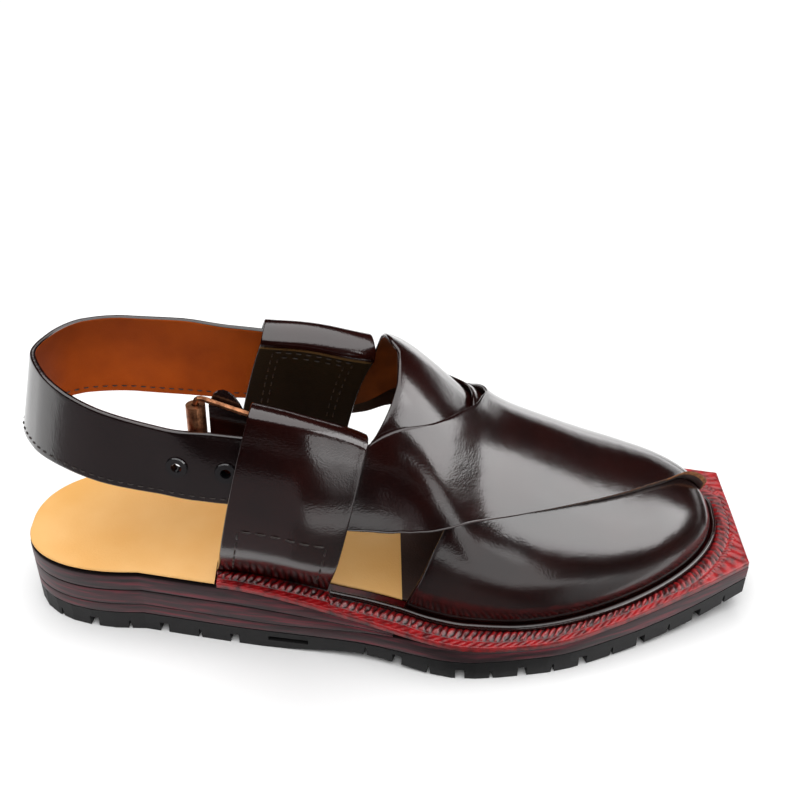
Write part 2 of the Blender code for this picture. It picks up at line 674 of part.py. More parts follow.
def make_welt():
    """A strip round the forefoot from one side loop to the other, with a carved bead on it."""
    outer, inner = sole_line(), feather_line(-WELT_LAP)
    rings = []
    for ray in stations():
        start, way = ray
        rim, root = (crossing(line, ray) for line in (outer, inner))
        foot = upper_foot(ray) + RAND_WIDTH + CLEARANCE
        end = max(rim - WELT_MARGIN, foot + BEAD_LEAST)
        end = min(end, foot + BEAD_WIDTH)
        lip = min(BEAD_LIP, 0.3 * (end - foot))
        profile = (
            (root, -WELT_THICK + CLEARANCE), (root, 0.0), (foot, 0.0), (foot + lip, BEAD_RISE),
            (end - lip, BEAD_RISE), (end, 0.0), (rim, 0.0), (rim, -WELT_THICK + CLEARANCE),
        )
        ring = []
        for far, rise in profile:
            at = start + way * far
            ring.append((at[0], at[1], float(sole_top(at[0])) + rise))
        rings.append(ring)
    finish_object("welt", loft_mesh("welt", rings), "red_welt")


def make_rand():
    """A leather bead in the corner between the upper and the welt."""
    rings = []
    rays = stations()
    front = LOOPS["lateral"]["foot"][1] * TOE_TIP + CLEARANCE
    used = [r for r in rays if r[0][0] > front]
    used = [(np.array([front, TOE_CENTRE]), np.array([0.0, -1.0])), *used,
            (np.array([front, TOE_CENTRE]), np.array([0.0, 1.0]))]
    for ray in used:
        start, way = ray
        root = upper_foot(ray)
        ring = []
        for out, rise in ((0.0, 0.0), (0.0, 0.75), (0.3, 1.0), (0.75, 0.9), (1.0, 0.5), (1.0, 0.0)):
            at = start + way * (root + out * RAND_WIDTH)
            z = float(base_height(at[0])) + rise * RAND_HEIGHT
            ring.append((at[0], at[1], z))
        rings.append(ring)
    finish_object("rand", loft_mesh("rand", rings), "oxblood")


def make_insole():
    """Full width at the heel, and inside the upper's walls from the side loops on."""
    lateral, medial = footprint(inset=CLEARANCE)
    step = WELT_START - CLEARANCE
    keep = lateral[:, 0] < step - 0.002
    back = [(l, m) for l, m in zip(lateral[keep], medial[keep])]
    wide = [np.array([step, s * (float(sole_side(n, step)) - CLEARANCE)])
            for n, s in (("lateral", -1), ("medial", 1))]
    inset = WELT_LAP + 3 * CLEARANCE
    x = TOE_TIP - inset - (TOE_TIP - inset - step) * (1 - np.sin(np.linspace(0.0, 1.535, 22)))
    x = np.r_[step + 0.0002, x[1:]]
    front_l = np.stack([x, np.interp(x, *feather_line(-inset)[:161].T)], axis=-1)
    front_m = np.stack([x, np.interp(x, *feather_line(-inset)[:159:-1].T)], axis=-1)
    pairs = back + [tuple(wide)] + list(zip(front_l, front_m))
    rings = layer_rings(
        [p[0] for p in pairs], [p[1] for p in pairs],
        lambda x: deck(x) + CLEARANCE, sole_top,
    )
    finish_object("insole", loft_mesh("insole", rings), "tan_insole")


def make_upper():
    """The under panel and the over panel, crossed on the last and joined where they cross."""
    x, place = under_patch()
    zero = np.zeros_like(x)
    under = slab_mesh("upper", off_last(x, place, zero), off_last(x, place, zero + PANEL_WALL))
    upper = finish_object("upper", under, "oxblood")
    x, place = over_patch()
    low = np.full_like(x, PANEL_WALL - PANEL_LAP)
    high = np.full_like(x, PANEL_WALL + OVER_STEP)
    over = slab_mesh("over_panel", off_last(x, place, low), off_last(x, place, high))
    over = finish_object("over_panel", over, None, cutter=True)
    join = upper.modifiers.new("over_panel", "BOOLEAN")
    join.operation = "UNION"
    join.object = over


def make_instep_piece():
    """The arched piece over the instep, under both panels, its ends in the side loops."""
    x, place = instep_patch()
    out = np.full_like(x, -INSTEP_GAP)
    inner, outer = off_last(x, place, out - INSTEP_WALL), off_last(x, place, out)
    finish_object("instep_piece", slab_mesh("instep_piece", inner, outer), "oxblood")


def loop_grid(loop, across=6, leg=9, turn=5):
    """Middle surface of a strip that rises outside the upper, folds over it and goes down inside."""
    side = loop["side"]
    rows = []
    for share in np.linspace(0, 1, across):
        foot = loop["foot"][0] + (loop["foot"][1] - loop["foot"][0]) * share
        top = loop["top"][0] + (loop["top"][1] - loop["top"][0]) * share
        fold = loop["fold"][0] + (loop["fold"][1] - loop["fold"][0]) * share
        fold += LOOP_CROWN * math.sin(math.pi * share)
        crown = 1 - abs(wall_place(side, top * TOE_TIP, fold * INSTEP_HEIGHT))
        rise = np.linspace(0, 1, leg)
        x = TOE_TIP * (foot + (top - foot) * rise)
        place = side * (1 - crown * rise)
        part = np.clip(rise / LOOP_CLOSE, 0, 1)
        part = part * part * (3 - 2 * part)
        near = LOOP_WALL / 2 + CLEARANCE
        outer = off_last(x, place, near + (LOOP_OUTER - near) * part)
        inner = off_last(x, place, -near - (LOOP_INNER - near) * part)
        top_mid = (outer[-1] + inner[-1]) / 2
        reach = (outer[-1] - inner[-1]) / 2
        up = outer[-1] + inner[-1] - outer[-2] - inner[-2]
        up -= reach * (up @ reach) / (reach @ reach)
        up *= np.linalg.norm(reach) / np.linalg.norm(up)
        bend = np.linspace(0, math.pi, turn + 2)[1:-1, None]
        fold = top_mid + reach * np.cos(bend) + up * np.sin(bend) * LOOP_ROUND
        rows.append(np.concatenate([outer, fold, inner[::-1]]))
    return np.array(rows)


def make_side_loops():
    for name, loop in LOOPS.items():
        grid = loop_grid(loop)
        push = grid_normals(grid) * LOOP_WALL / 2
        walls = []
        for face in (grid - push, grid + push):
            face[..., 2] = np.maximum(face[..., 2], base_height(face[..., 0]))
            walls.append(face)
        node = "side_loop_" + name
        finish_object(node, slab_mesh(node, *walls), "oxblood")


def strap_grid(steps=46, rows=5):
    """Middle surface of the heel strap: rows up its width, from the medial to the lateral loop."""
    knots = np.linspace(0, 1, len(STRAP["at"]))
    at = np.linspace(0, 1, steps)
    read = {k: smooth(dict(at=knots, v=v), "v", at) for k, v in STRAP.items()}
    centre = np.stack(
        [read["at"] * SOLE_LENGTH, read["y"] * BALL_WIDTH, read["height"] * STRAP_HEIGHT], axis=-1
    )
    run = np.gradient(centre, axis=0)
    run /= np.linalg.norm(run, axis=1)[:, None]
    inward = np.cross((0.0, 0.0, 1.0), run)
    inward /= np.linalg.norm(inward, axis=1)[:, None]
    lean = np.radians(read["lean"])[:, None]
    up = np.cross(run, inward)
    rise = up * np.cos(lean) + inward * np.sin(lean)
    half = read["width"][:, None] * STRAP_WIDTH / 2
    shares = np.linspace(-1, 1, rows)
    grid = np.stack([centre + rise * half * s for s in shares], axis=1)
    for row in grid.reshape(-1, 3):
        blend = np.clip((row[0] - STRAP_SEAT[0]) / (STRAP_SEAT[1] - STRAP_SEAT[0]), 0, 1)
        if blend > 0:
            side = math.copysign(1, row[1])
            seat = off_last(row[0], wall_place(side, row[0], row[2]), STRAP_OFFSET)
            row[1] += (seat[1] - row[1]) * blend * blend * (3 - 2 * blend)
    return grid


def strap_side(x, z):
    """The y of the strap's lateral run at x and z."""
    grid = strap_grid()
    run = grid[grid.shape[0] // 2:].reshape(-1, 3)
    near = np.argsort((run[:, 0] - x) ** 2 + (run[:, 2] - z) ** 2)[:4]
    weight = 1 / ((run[near, 0] - x) ** 2 + (run[near, 2] - z) ** 2 + 1e-9)
    return float((run[near, 1] * weight).sum() / weight.sum())


def eyelet_frames():
    """Centre and outward direction of each eyelet, on the strap's middle line."""
    grid = strap_grid(steps=181)
    normals = grid_normals(grid)
    middle = grid.shape[1] // 2
    half = grid.shape[0] // 2
    frames = []
    for x in EYELETS:
        k = half + int(np.argmin(np.abs(grid[half:, middle, 0] - x)))
        out = normals[k, middle] * -math.copysign(1, normals[k, middle, 1])
        frames.append((grid[k, middle], out))
    return frames


def spokes(axis, count):
    """Unit directions all round an axis."""
    axis = axis / np.linalg.norm(axis)
    side = np.cross(axis, np.eye(3)[int(np.argmin(np.abs(axis)))])
    side /= np.linalg.norm(side)
    other = np.cross(axis, side)
    turns = np.arange(count) * 2 * math.pi / count
    return [side * math.cos(t) + other * math.sin(t) for t in turns]


def turned_mesh(name, centre, axis, profile, steps=20):
    """A ring turned round an axis from a closed profile of (radius, height along the axis)."""
    axis = axis / np.linalg.norm(axis)
    points = []
    for way in spokes(axis, steps):
        points.extend([centre + way * r + axis * h for r, h in profile])
    size = len(profile)
    faces = []
    for i in range(steps):
        n = (i + 1) % steps
        for j in range(size):
            k = (j + 1) % size
            faces.append((i * size + j, n * size + j, n * size + k, i * size + k))
    return mesh_of(name, [tuple(p) for p in points], faces)


def rod_mesh(name, start, end, radii, steps=12):
    """A straight round rod, which may taper."""
    ways = spokes(end - start, steps)
    rings = [[at + radius * way for way in ways] for at, radius in zip((start, end), radii)]
    return loft_mesh(name, rings)


def make_heel_strap():
    grid = strap_grid()
    push = grid_normals(grid) * STRAP_WALL / 2
    strap = finish_object("heel_strap", slab_mesh("heel_strap", grid - push, grid + push), "oxblood")
    radius = EYELET_BORE_RADIUS + EYELET_TUBE + CLEARANCE
    for number, (centre, out) in enumerate(eyelet_frames(), 1):
        ends = (centre - out * CUT_PAST, centre + out * CUT_PAST)
        punch = rod_mesh("punch", *ends, (radius, radius), 20)
        punch = finish_object(f"punch_{number}", punch, None, cutter=True)
        cut = strap.modifiers.new(punch.name, "BOOLEAN")
        cut.operation = "DIFFERENCE"
        cut.object = punch


def make_eyelets():
    """Black eyelets through the strap: a rolled rim outside and a smaller one inside."""
    bore, tube = EYELET_BORE_RADIUS, EYELET_BORE_RADIUS + EYELET_TUBE
    face = STRAP_WALL / 2 + CLEARANCE
    profile = (
        (bore, -face - EYELET_RIM), (EYELET_BACK_RADIUS, -face - EYELET_RIM),
        (EYELET_BACK_RADIUS, -face), (tube, -face), (tube, face), (EYELET_RADIUS, face),
        (EYELET_RADIUS - EYELET_RIM / 2, face + EYELET_RIM), (bore, face + EYELET_RIM),
    )
    for number, (centre, out) in enumerate(eyelet_frames(), 1):
        name = f"eyelet_{number}"
        finish_object(name, turned_mesh(name, centre, out, profile), "black_enamel")


def buckle_corners():
    """The four corners of the buckle's wire: the roller's bar first, lower end first."""
    x, low, high = BUCKLE_REAR
    heights = np.linspace(low, STRAP_HEIGHT + 0.006, 8)
    beside = np.array([max(strap_side(x + d, z) for d in (-ROLLER / 2, 0.0, ROLLER / 2))
                       for z in heights])
    lean = (beside[-1] - beside[0]) / (heights[-1] - heights[0])
    out = STRAP_WALL / 2 + 2 * CLEARANCE + ROLLER / 2
    y = np.max(beside - lean * (heights - low)) + out * math.hypot(1, lean)
    corners = [np.array([x, y, low]), np.array([x, y + lean * (high - low), high])]
    x, low, high = BUCKLE_FRONT
    for z in (high, low):
        corners.append(off_last(x, wall_place(-1, x, z), -CLEARANCE))
    return corners


def make_buckle():
    """A wire frame with a roller on its rear bar, a prong, and the leather tab behind them."""
    corners = buckle_corners()
    path = []
    for k, corner in enumerate(corners):
        before = corners[k - 1] - corner
        after = corners[(k + 1) % 4] - corner
        before *= BUCKLE_CORNER / np.linalg.norm(before)
        after *= BUCKLE_CORNER / np.linalg.norm(after)
        for t in np.linspace(0, 1, 6):
            path.append(corner + before * (1 - t) ** 2 + after * t * t)
    finish_object("buckle_frame", ring_mesh("buckle_frame", path, WIRE / 2), "copper")
    up = corners[1] - corners[0]
    up /= np.linalg.norm(up)
    half = (BUCKLE_REAR[2] - BUCKLE_REAR[1]) / 2 - BUCKLE_CORNER + CLEARANCE
    bore, rim = ROLLER_BORE / 2, ROLLER / 2
    profile = ((bore, -half), (rim, -half), (rim, half), (bore, half))
    middle = (corners[0] + corners[1]) / 2
    roller = turned_mesh("buckle_roller", middle, up, profile, 24)
    finish_object("buckle_roller", roller, "copper")
    share = (PRONG_HEIGHT - BUCKLE_FRONT[1]) / (BUCKLE_FRONT[2] - BUCKLE_FRONT[1])
    root = corners[3] + (corners[2] - corners[3]) * share
    tip = np.array([middle[0], middle[1], PRONG_HEIGHT])
    way = (tip - root) / np.linalg.norm(tip - root)
    root = root + way * (WIRE / 2 + CLEARANCE)
    tip = tip - way * (ROLLER / 2 + CLEARANCE)
    prong = rod_mesh("buckle_prong", root, tip, PRONG_RADII)
    finish_object("buckle_prong", prong, "copper")
    make_buckle_tab(corners)


def make_buckle_tab(corners):
    """The tab lies behind the frame and parallel to it, from the roller into the side loop."""
    rear, front = corners[0], corners[3]
    rows = []
    for x in np.linspace(TAB["at"][0], TAB["at"][-1], 12):
        low, high = (float(smooth(TAB, column, x)) for column in ("low", "high"))
        lean = (corners[1] - corners[0])[1] / (corners[1] - corners[0])[2]
        share = (x - rear[0]) / (front[0] - rear[0])
        tilt = lean + ((corners[2] - corners[3])[1] / (corners[2] - corners[3])[2] - lean) * share
        foot = rear + (front - rear) * share
        row = [(x, foot[1] + (z - foot[2]) * tilt + TAB_OFFSET, z) for z in np.linspace(low, high, 6)]
        rows.append(row)
    grid = np.array(rows)
    push = grid_normals(grid) * TAB_WALL / 2
    finish_object("buckle_tab", slab_mesh("buckle_tab", grid - push, grid + push), "oxblood")


def ring_mesh(name, path, radius, sides=10):
    """A closed ring of wire along a path that lies nearly in one plane."""
    path = np.array(path)
    plane = np.cross(path[1] - path[0], path[len(path) // 2] - path[0])
    plane /= np.linalg.norm(plane)
    run = np.roll(path, -1, axis=0) - np.roll(path, 1, axis=0)
    run /= np.linalg.norm(run, axis=1)[:, None]
    out = np.cross(run, plane)
    out /= np.linalg.norm(out, axis=1)[:, None]
    turns = np.arange(sides) * 2 * math.pi / sides
    rings = [
        [p + radius * (o * math.cos(t) + np.cross(r, o) * math.sin(t)) for t in turns]
        for p, r, o in zip(path, run, out)
    ]
    count = len(rings)
    points = [tuple(q) for ring in rings for q in ring]
    faces = []
    for i in range(count):
        n = (i + 1) % count
        for j in range(sides):
            k = (j + 1) % sides
            faces.append((i * sides + j, n * sides + j, n * sides + k, i * sides + k))
    return mesh_of(name, points, faces)


def clear_scene():
    for old in list(bpy.data.objects):
        bpy.data.objects.remove(old)


def main():
    clear_scene()
    make_outsole()
    make_midsole()
    make_welt()
    make_insole()
    make_rand()
    make_upper()
    make_instep_piece()
    make_side_loops()
    make_heel_strap()
    make_eyelets()
    make_buckle()


main()
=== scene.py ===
# %% [markdown]
# # A right peshawari chappal
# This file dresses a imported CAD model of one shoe: crossed leather panels over a welted sole with
# a low wedge heel, and a buckled strap behind the heel. The frame gives the sizes. Every soft piece
# is drawn again here with a finer mesh, from the same curves as the solids.

import math

import bmesh
import bpy
import numpy as np
from mathutils import Matrix, Vector


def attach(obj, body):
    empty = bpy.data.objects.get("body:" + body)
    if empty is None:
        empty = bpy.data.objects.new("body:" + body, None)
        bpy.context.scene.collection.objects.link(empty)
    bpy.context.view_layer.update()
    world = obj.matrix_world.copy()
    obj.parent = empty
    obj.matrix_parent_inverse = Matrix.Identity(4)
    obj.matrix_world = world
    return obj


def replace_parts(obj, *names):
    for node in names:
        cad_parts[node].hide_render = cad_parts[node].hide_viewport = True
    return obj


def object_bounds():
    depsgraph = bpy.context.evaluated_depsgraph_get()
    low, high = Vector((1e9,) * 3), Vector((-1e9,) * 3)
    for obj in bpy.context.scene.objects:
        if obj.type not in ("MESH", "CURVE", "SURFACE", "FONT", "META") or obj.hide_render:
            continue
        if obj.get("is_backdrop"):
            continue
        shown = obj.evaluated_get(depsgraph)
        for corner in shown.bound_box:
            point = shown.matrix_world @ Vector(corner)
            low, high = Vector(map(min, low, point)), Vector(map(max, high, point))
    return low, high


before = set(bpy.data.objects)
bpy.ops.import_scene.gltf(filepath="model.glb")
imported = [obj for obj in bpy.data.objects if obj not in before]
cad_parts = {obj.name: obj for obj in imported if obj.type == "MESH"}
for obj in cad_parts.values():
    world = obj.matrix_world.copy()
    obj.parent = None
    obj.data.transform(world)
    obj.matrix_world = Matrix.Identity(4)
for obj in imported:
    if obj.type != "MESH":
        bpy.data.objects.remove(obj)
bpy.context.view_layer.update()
print("nodes:", ", ".join(sorted(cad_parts)))

# %% [markdown]
# ## Camera, floor and light
# The shoe stands on a white sweep. The camera looks down at about 37 degrees from its outer side
# with a slightly long lens. Polished leather shows its surroundings: a wide soft panel in front of the
# toe makes the broad grey sheen, and where the room is dark the leather's own brown is seen.

# %% Camera
IMAGE = 810                                 # pixels, square
FOCAL_PIXELS = 1150
SENSOR = 36.0                               # mm
CAMERA_PLACE = (0.1036, -0.3474, 0.3524)
CAMERA_RIGHT = (0.9997, -0.0224, 0.0115)
CAMERA_UP = (0.0044, 0.6049, 0.7963)

right = Vector(CAMERA_RIGHT).normalized()
back = right.cross(Vector(CAMERA_UP)).normalized()
up = back.cross(right)
camera_data = bpy.data.cameras.new("camera")
camera_data.sensor_width = SENSOR
camera_data.lens = SENSOR * FOCAL_PIXELS / IMAGE
camera_data.clip_start = 0.01
camera = bpy.data.objects.new("camera", camera_data)
turn = Matrix((right, up, back)).transposed()
camera.matrix_world = Matrix.Translation(CAMERA_PLACE) @ turn.to_4x4()
bpy.context.scene.collection.objects.link(camera)
bpy.context.scene.camera = camera
print(f"camera: {camera_data.lens:.1f} mm lens, looking down "
      f"{math.degrees(math.asin(back.z)):.1f} degrees")


# %% [markdown]
# ## Materials
# A helper adds a shader node with its settings and links. Colours are written as sRGB hex values and
# turned to the linear values that the renderer works in. Texture sizes are given in millimetres.

# %% Node helper
def add(tree, kind, settings=None, **feeds):
    """Add a node. A feed's key is a socket's name or i and its number; its value may be a socket."""
    made = tree.nodes.new(kind)
    for key, value in (settings or {}).items():
        setattr(made, key, value)
    for key, value in feeds.items():
        number = key[1:] if key[0] == "i" else ""
        socket = made.inputs[int(number) if number.isdigit() else key.replace("_", " ")]
        if isinstance(value, bpy.types.NodeSocket):
            tree.links.new(value, socket)
        else:
            socket.default_value = value
    return made


def linear(code):
    """An sRGB hex code as a linear RGBA colour."""
    values = [int(code[i:i + 2], 16) / 255 for i in (1, 3, 5)]
    return (*[v / 12.92 if v <= 0.04045 else ((v + 0.055) / 1.055) ** 2.4 for v in values], 1.0)


def start_material(name, roughness, coat=0.0, coat_roughness=0.1, metallic=0.0, ior=1.5):
    """A new material with its constants set on the shader's own sockets."""
    made = bpy.data.materials.new(name)
    made.use_nodes = True
    tree = made.node_tree
    shader = tree.nodes["Principled BSDF"]
    shader.inputs["Roughness"].default_value = roughness
    shader.inputs["Coat Weight"].default_value = coat
    shader.inputs["Coat Roughness"].default_value = coat_roughness
    shader.inputs["Metallic"].default_value = metallic
    shader.inputs["IOR"].default_value = ior
    place = add(tree, "ShaderNodeTexCoord").outputs["Object"]
    return made, tree, shader, place


def noise(tree, place, size, detail, roughness=0.5):
    """Noise whose features are about this many millimetres wide."""
    return add(tree, "ShaderNodeTexNoise", Vector=place, Scale=1000 / size, Detail=detail,
               Roughness=roughness).outputs["Fac"]


def pores(tree, place, size):
    return add(tree, "ShaderNodeTexVoronoi", Vector=place, Scale=1000 / size).outputs["Distance"]


def toned(tree, value, *stops):
    """A colour ramp over the value; the stops are positions and hex codes: the two ends, then others."""
    ramp = add(tree, "ShaderNodeValToRGB", Fac=value)
    elements = ramp.color_ramp.elements
    for k, (position, code) in enumerate(stops):
        stop = elements[k] if k < 2 else elements.new(position)
        stop.position, stop.color = position, linear(code)
    return ramp.outputs["Color"]


def paint(tree, shader, value, *stops):
    tree.links.new(toned(tree, value, *stops), shader.inputs["Base Color"])


def relief(tree, shader, *bumps, coat=False):
    """Bumps on top of each other, each given as a strength, a distance in metres and a height."""
    feeds = {}
    for strength, distance, height in bumps:
        bump = add(tree, "ShaderNodeBump", Strength=strength, Distance=distance, Height=height, **feeds)
        feeds = {"Normal": bump.outputs["Normal"]}
    for name in ("Normal", "Coat Normal") if coat else ("Normal",):
        tree.links.new(feeds["Normal"], shader.inputs[name])


# %% [markdown]
# ### Glazed calf leather
# The upper is smooth calf, dyed a very dark oxblood and glazed to a mirror. Under the gloss there is
# a fine pore grain, a faint cloud in the dye, and slow waves where the hide isn't quite flat; these
# waves are what breaks up the reflections.

# %% Glazed calf
def glazed_calf(name, deep, warm, wave=0.20):
    made, tree, shader, place = start_material(name, 0.20, coat=0.6, coat_roughness=0.08)
    paint(tree, shader, noise(tree, place, 22, 3.0), (0.35, deep), (0.72, warm))
    relief(tree, shader, (0.10, 0.0002, pores(tree, place, 0.7)),
           (0.08, 0.0003, noise(tree, place, 1.1, 4.0)), (wave, 0.0010, noise(tree, place, 14, 2.0)),
           coat=True)
    return made


calf = glazed_calf("glazed_oxblood_calf", "#180504", "#260a07")
strap_calf = glazed_calf("glazed_strap_calf", "#120707", "#1a0b0a", wave=0.10)
calf_edge = glazed_calf("inked_leather_edge", "#140706", "#260e0b", wave=0.1)
print("made:", calf.name, strap_calf.name, calf_edge.name)


# %% [markdown]
# ### Lining, insole and raw edge
# The lining and the insole are vegetable-tanned leather: undyed it is a pale honey, and the lining is
# stained orange. It is only lightly glazed, so it scatters light. Where an edge was cut and not inked
# the same tan shows.

# %% Tanned leather
def tanned_leather(name, pale, dark, roughness, patch=18, pore=0.8, ior=1.45):
    made, tree, shader, place = start_material(name, roughness, ior=ior)
    paint(tree, shader, noise(tree, place, patch, 6.0), (0.30, dark), (0.68, pale))
    relief(tree, shader, (0.25, 0.0002, pores(tree, place, pore)))
    return made


lining = tanned_leather("stained_lining_leather", "#b04e06", "#983f03", 0.60, ior=1.25)
# Painted shade: a darker copy of the orange lining for the inside of the folded instep piece.
instep_lining_painted_shade = tanned_leather("painted_shade_instep_lining", "#8a4310", "#5c2a09", 0.60, ior=1.3)
insole_tan = tanned_leather("honey_insole_leather", "#f7c27a", "#f0b465", 0.50, patch=30)
raw_edge = tanned_leather("raw_cut_leather", "#b8763a", "#6e3f1c", 0.7, patch=2, pore=0.3)
worn_edge = tanned_leather("worn_cut_edge", "#7a4a22", "#1a0b07", 0.5, patch=1.5, pore=0.3)
# Painted shade: this dark brown is the panels' lining side, and on the insole ahead of the vamp's edge it
# stands in for the shade under the vamp.
lining_and_painted_shade = tanned_leather("vamp_lining_and_painted_insole_shade", "#33190e", "#1c0e08", 0.5)
# Painted shade: a near-black, matt copy of the calf for the loops' inner legs.
inner_calf_painted_shade = tanned_leather("dull_calf_painted_shade", "#0f0604", "#090302", 0.50, ior=1.3)
print("made:", lining.name, insole_tan.name, raw_edge.name, worn_edge.name, lining_and_painted_shade.name)


# %% [markdown]
# ### Carved welt
# The welt is leather dyed crimson and varnished. Its low places are painted nearly black as painted shade:
# the cuts of the carving, the flat next to the bead and the gaps between the punched bumps. The mesh stores
# how dark each point is painted, from 0 on top to 1 in a cut.

# %% Crimson varnished leather
def varnished_welt():
    made, tree, shader, place = start_material("varnished_crimson_leather", 0.36, coat=0.18,
                                               coat_roughness=0.14)
    depth = add(tree, "ShaderNodeAttribute", {"attribute_name": "depth"})
    shade = toned(tree, noise(tree, place, 3.5, 5.0), (0.32, "#460206"), (0.60, "#a80a12"))
    # Painted shade: where the depth value is high the crimson turns nearly black.
    toned_by_depth = add(tree, "ShaderNodeMix", {"data_type": "RGBA"}, i0=depth.outputs["Fac"], i6=shade,
               i7=linear("#120204"))
    tree.links.new(toned_by_depth.outputs[2], shader.inputs["Base Color"])
    relief(tree, shader, (0.5, 0.0003, noise(tree, place, 0.9, 4.0)), coat=True)
    return made


welt_red = varnished_welt()
print("made:", welt_red.name)


# %% [markdown]
# ### Stacked leather
# The edge of the midsole is layers of sole leather, pressed, sanded and stained burgundy. Sanding
# leaves long streaks along the edge, so the noise is stretched along the shoe.

# %% Burnished stacked leather
def stacked_edge():
    made, tree, shader, place = start_material("burnished_stacked_leather", 0.50, coat=0.08,
                                               coat_roughness=0.25)
    long = add(tree, "ShaderNodeMapping", Vector=place, Scale=(0.06, 0.06, 0.8))
    streak = noise(tree, long.outputs["Vector"], 1.6, 6.0, 0.6)
    tone = toned(tree, streak, (0.36, "#1c090d"), (0.68, "#741226"), (0.52, "#3e121c"))
    depth = add(tree, "ShaderNodeAttribute", {"attribute_name": "depth"})
    toned_by_depth = add(tree, "ShaderNodeMix", {"data_type": "RGBA"}, i0=depth.outputs["Fac"], i6=tone,
               i7=linear("#120406"))
    tree.links.new(toned_by_depth.outputs[2], shader.inputs["Base Color"])
    relief(tree, shader, (0.4, 0.0003, streak))
    return made


sole_stack = stacked_edge()
print("made:", sole_stack.name)


# %% [markdown]
# ### Rubber, copper, enamel and thread
# The outsole is moulded carbon-black rubber with a fine matt spark texture. The buckle is steel wire
# with an antique copper plate, dark in its pits and bright where it is rubbed. The eyelets are
# enamelled brass. The thread is waxed, so it shines a little.

# %% Rubber
def moulded_rubber():
    made, tree, shader, place = start_material("moulded_rubber", 0.60, ior=1.4)
    paint(tree, shader, noise(tree, place, 6, 5.0), (0.0, "#0e0d0e"), (1.0, "#1b1a1b"))
    relief(tree, shader, (0.3, 0.0002, noise(tree, place, 0.5, 3.0)))
    return made


rubber = moulded_rubber()
print("made:", rubber.name)


# %% Antique copper plate
def antique_copper():
    made, tree, shader, place = start_material("antique_copper_plate", 0.34, metallic=1.0)
    rub = noise(tree, place, 3.0, 6.0, 0.65)
    paint(tree, shader, rub, (0.33, "#4a2a1c"), (0.66, "#b9805c"))
    matt = add(tree, "ShaderNodeMapRange", Value=rub, To_Min=0.55, To_Max=0.25)
    tree.links.new(matt.outputs["Result"], shader.inputs["Roughness"])
    relief(tree, shader, (0.3, 0.0002, noise(tree, place, 0.6, 4.0)))
    return made


copper = antique_copper()
print("made:", copper.name)


# %% Enamel and thread
def plain_finish(name, code, other, roughness, size, strength, coat=0.0):
    """A finish with a slight change of tone and a fine relief of the given size in millimetres."""
    made, tree, shader, place = start_material(name, roughness, coat=coat)
    change = noise(tree, place, size, 3.0)
    paint(tree, shader, change, (0.0, code), (1.0, other))
    relief(tree, shader, (strength, 0.0002, change))
    return made


card_grey = plain_finish("grey_card", "#767072", "#7c7678", 0.9, 300.0, 0.0)
enamel = plain_finish("black_enamel", "#0b0b0c", "#17171a", 0.25, 2.0, 0.1, coat=0.5)
thread = plain_finish("waxed_thread", "#120b09", "#33251f", 0.35, 0.5, 0.5)
paper = plain_finish("white_sweep", "#fafafa", "#ffffff", 0.9, 300.0, 0.0)
print("made:", enamel.name, thread.name, paper.name, card_grey.name)

# %% [markdown]
# ## The last
# A shoe is built over a last, a block shaped like the foot. All the leather here lies on one such
# surface. Its sections are smooth curves through a few named sizes, the same ones as in the CAD
# source, so each finer piece lands on the solid that it stands for. Inside these functions x runs
# forward from the back of the heel.

# %% Sizes
SOLE_LENGTH = 0.289
BALL_WIDTH = 0.111
HEEL_SEAT = 0.036                           # back of the heel to the frame's origin
HEEL_SHIFT = 0.003
HEEL_HEIGHT = 0.0322
BALL_HEIGHT = 0.0168
TOE_SPRING = 0.0084
SPRING_CURVE = 2.1
SPRING_SHARE = 0.86
RUBBER = 0.0088
WELT_THICK = 0.0027
RUNNER_THICK = 0.0046
WELT_MARGIN = 0.0028
WELT_LAP = 0.0020
BEAD_WIDTH = 0.0050
CLEARANCE = 0.0003
SPRING_START = 0.727
WEDGE = (0.30, 0.56)
INSTEP_HEIGHT = 0.117
TOE_MARGIN = 0.0125
TOE_TIP = SOLE_LENGTH - TOE_MARGIN
WELT_START = 0.2815 * TOE_TIP - CLEARANCE
TOE_CENTRE = 0.009
TOE_BLEND = 0.69
CREST_BLEND = 0.855
HEEL_ROUND = 2.3
SHIFT = np.array([HEEL_SEAT, HEEL_SHIFT, 0.0])

PLAN = dict(
    at=(0.162, 0.303, 0.455, 0.606, 0.707, 0.808, 0.909, 1.0),
    lateral=(0.254, 0.331, 0.402, 0.500, 0.477, 0.397, 0.287, 0.169),
    medial=(0.308, 0.288, 0.340, 0.494, 0.507, 0.477, 0.412, 0.332),
)
TOP_VIEW = dict(at=(0.0, 0.283, 0.505, 0.687, 0.889, 1.03), rise=(1.0, 1.0, 0.25, 0.0, 0.33, 0.60))
FEATHER = dict(
    at=(0.28, 0.36, 0.44, 0.49, 0.535, 0.58, 0.63, 0.69, 0.74),
    lateral=(0.235, 0.258, 0.281, 0.292, 0.318, 0.357, 0.379, 0.382, 0.366),
    medial=(0.199, 0.200, 0.225, 0.248, 0.290, 0.330, 0.366, 0.379, 0.381),
)
TOE_SHAPE = dict(lateral=(1.65, 2.0), medial=(2.2, 2.2))
CREST_SHAPE = (1.05, 0.48)
CREST_EASE = (0.014, 0.35)                  # reach of the easing, and its share of what is left
EASE_WEIGHTS = ((-1.0, 0.1), (-0.5, 0.2), (0.0, 0.4), (0.5, 0.2), (1.0, 0.1))
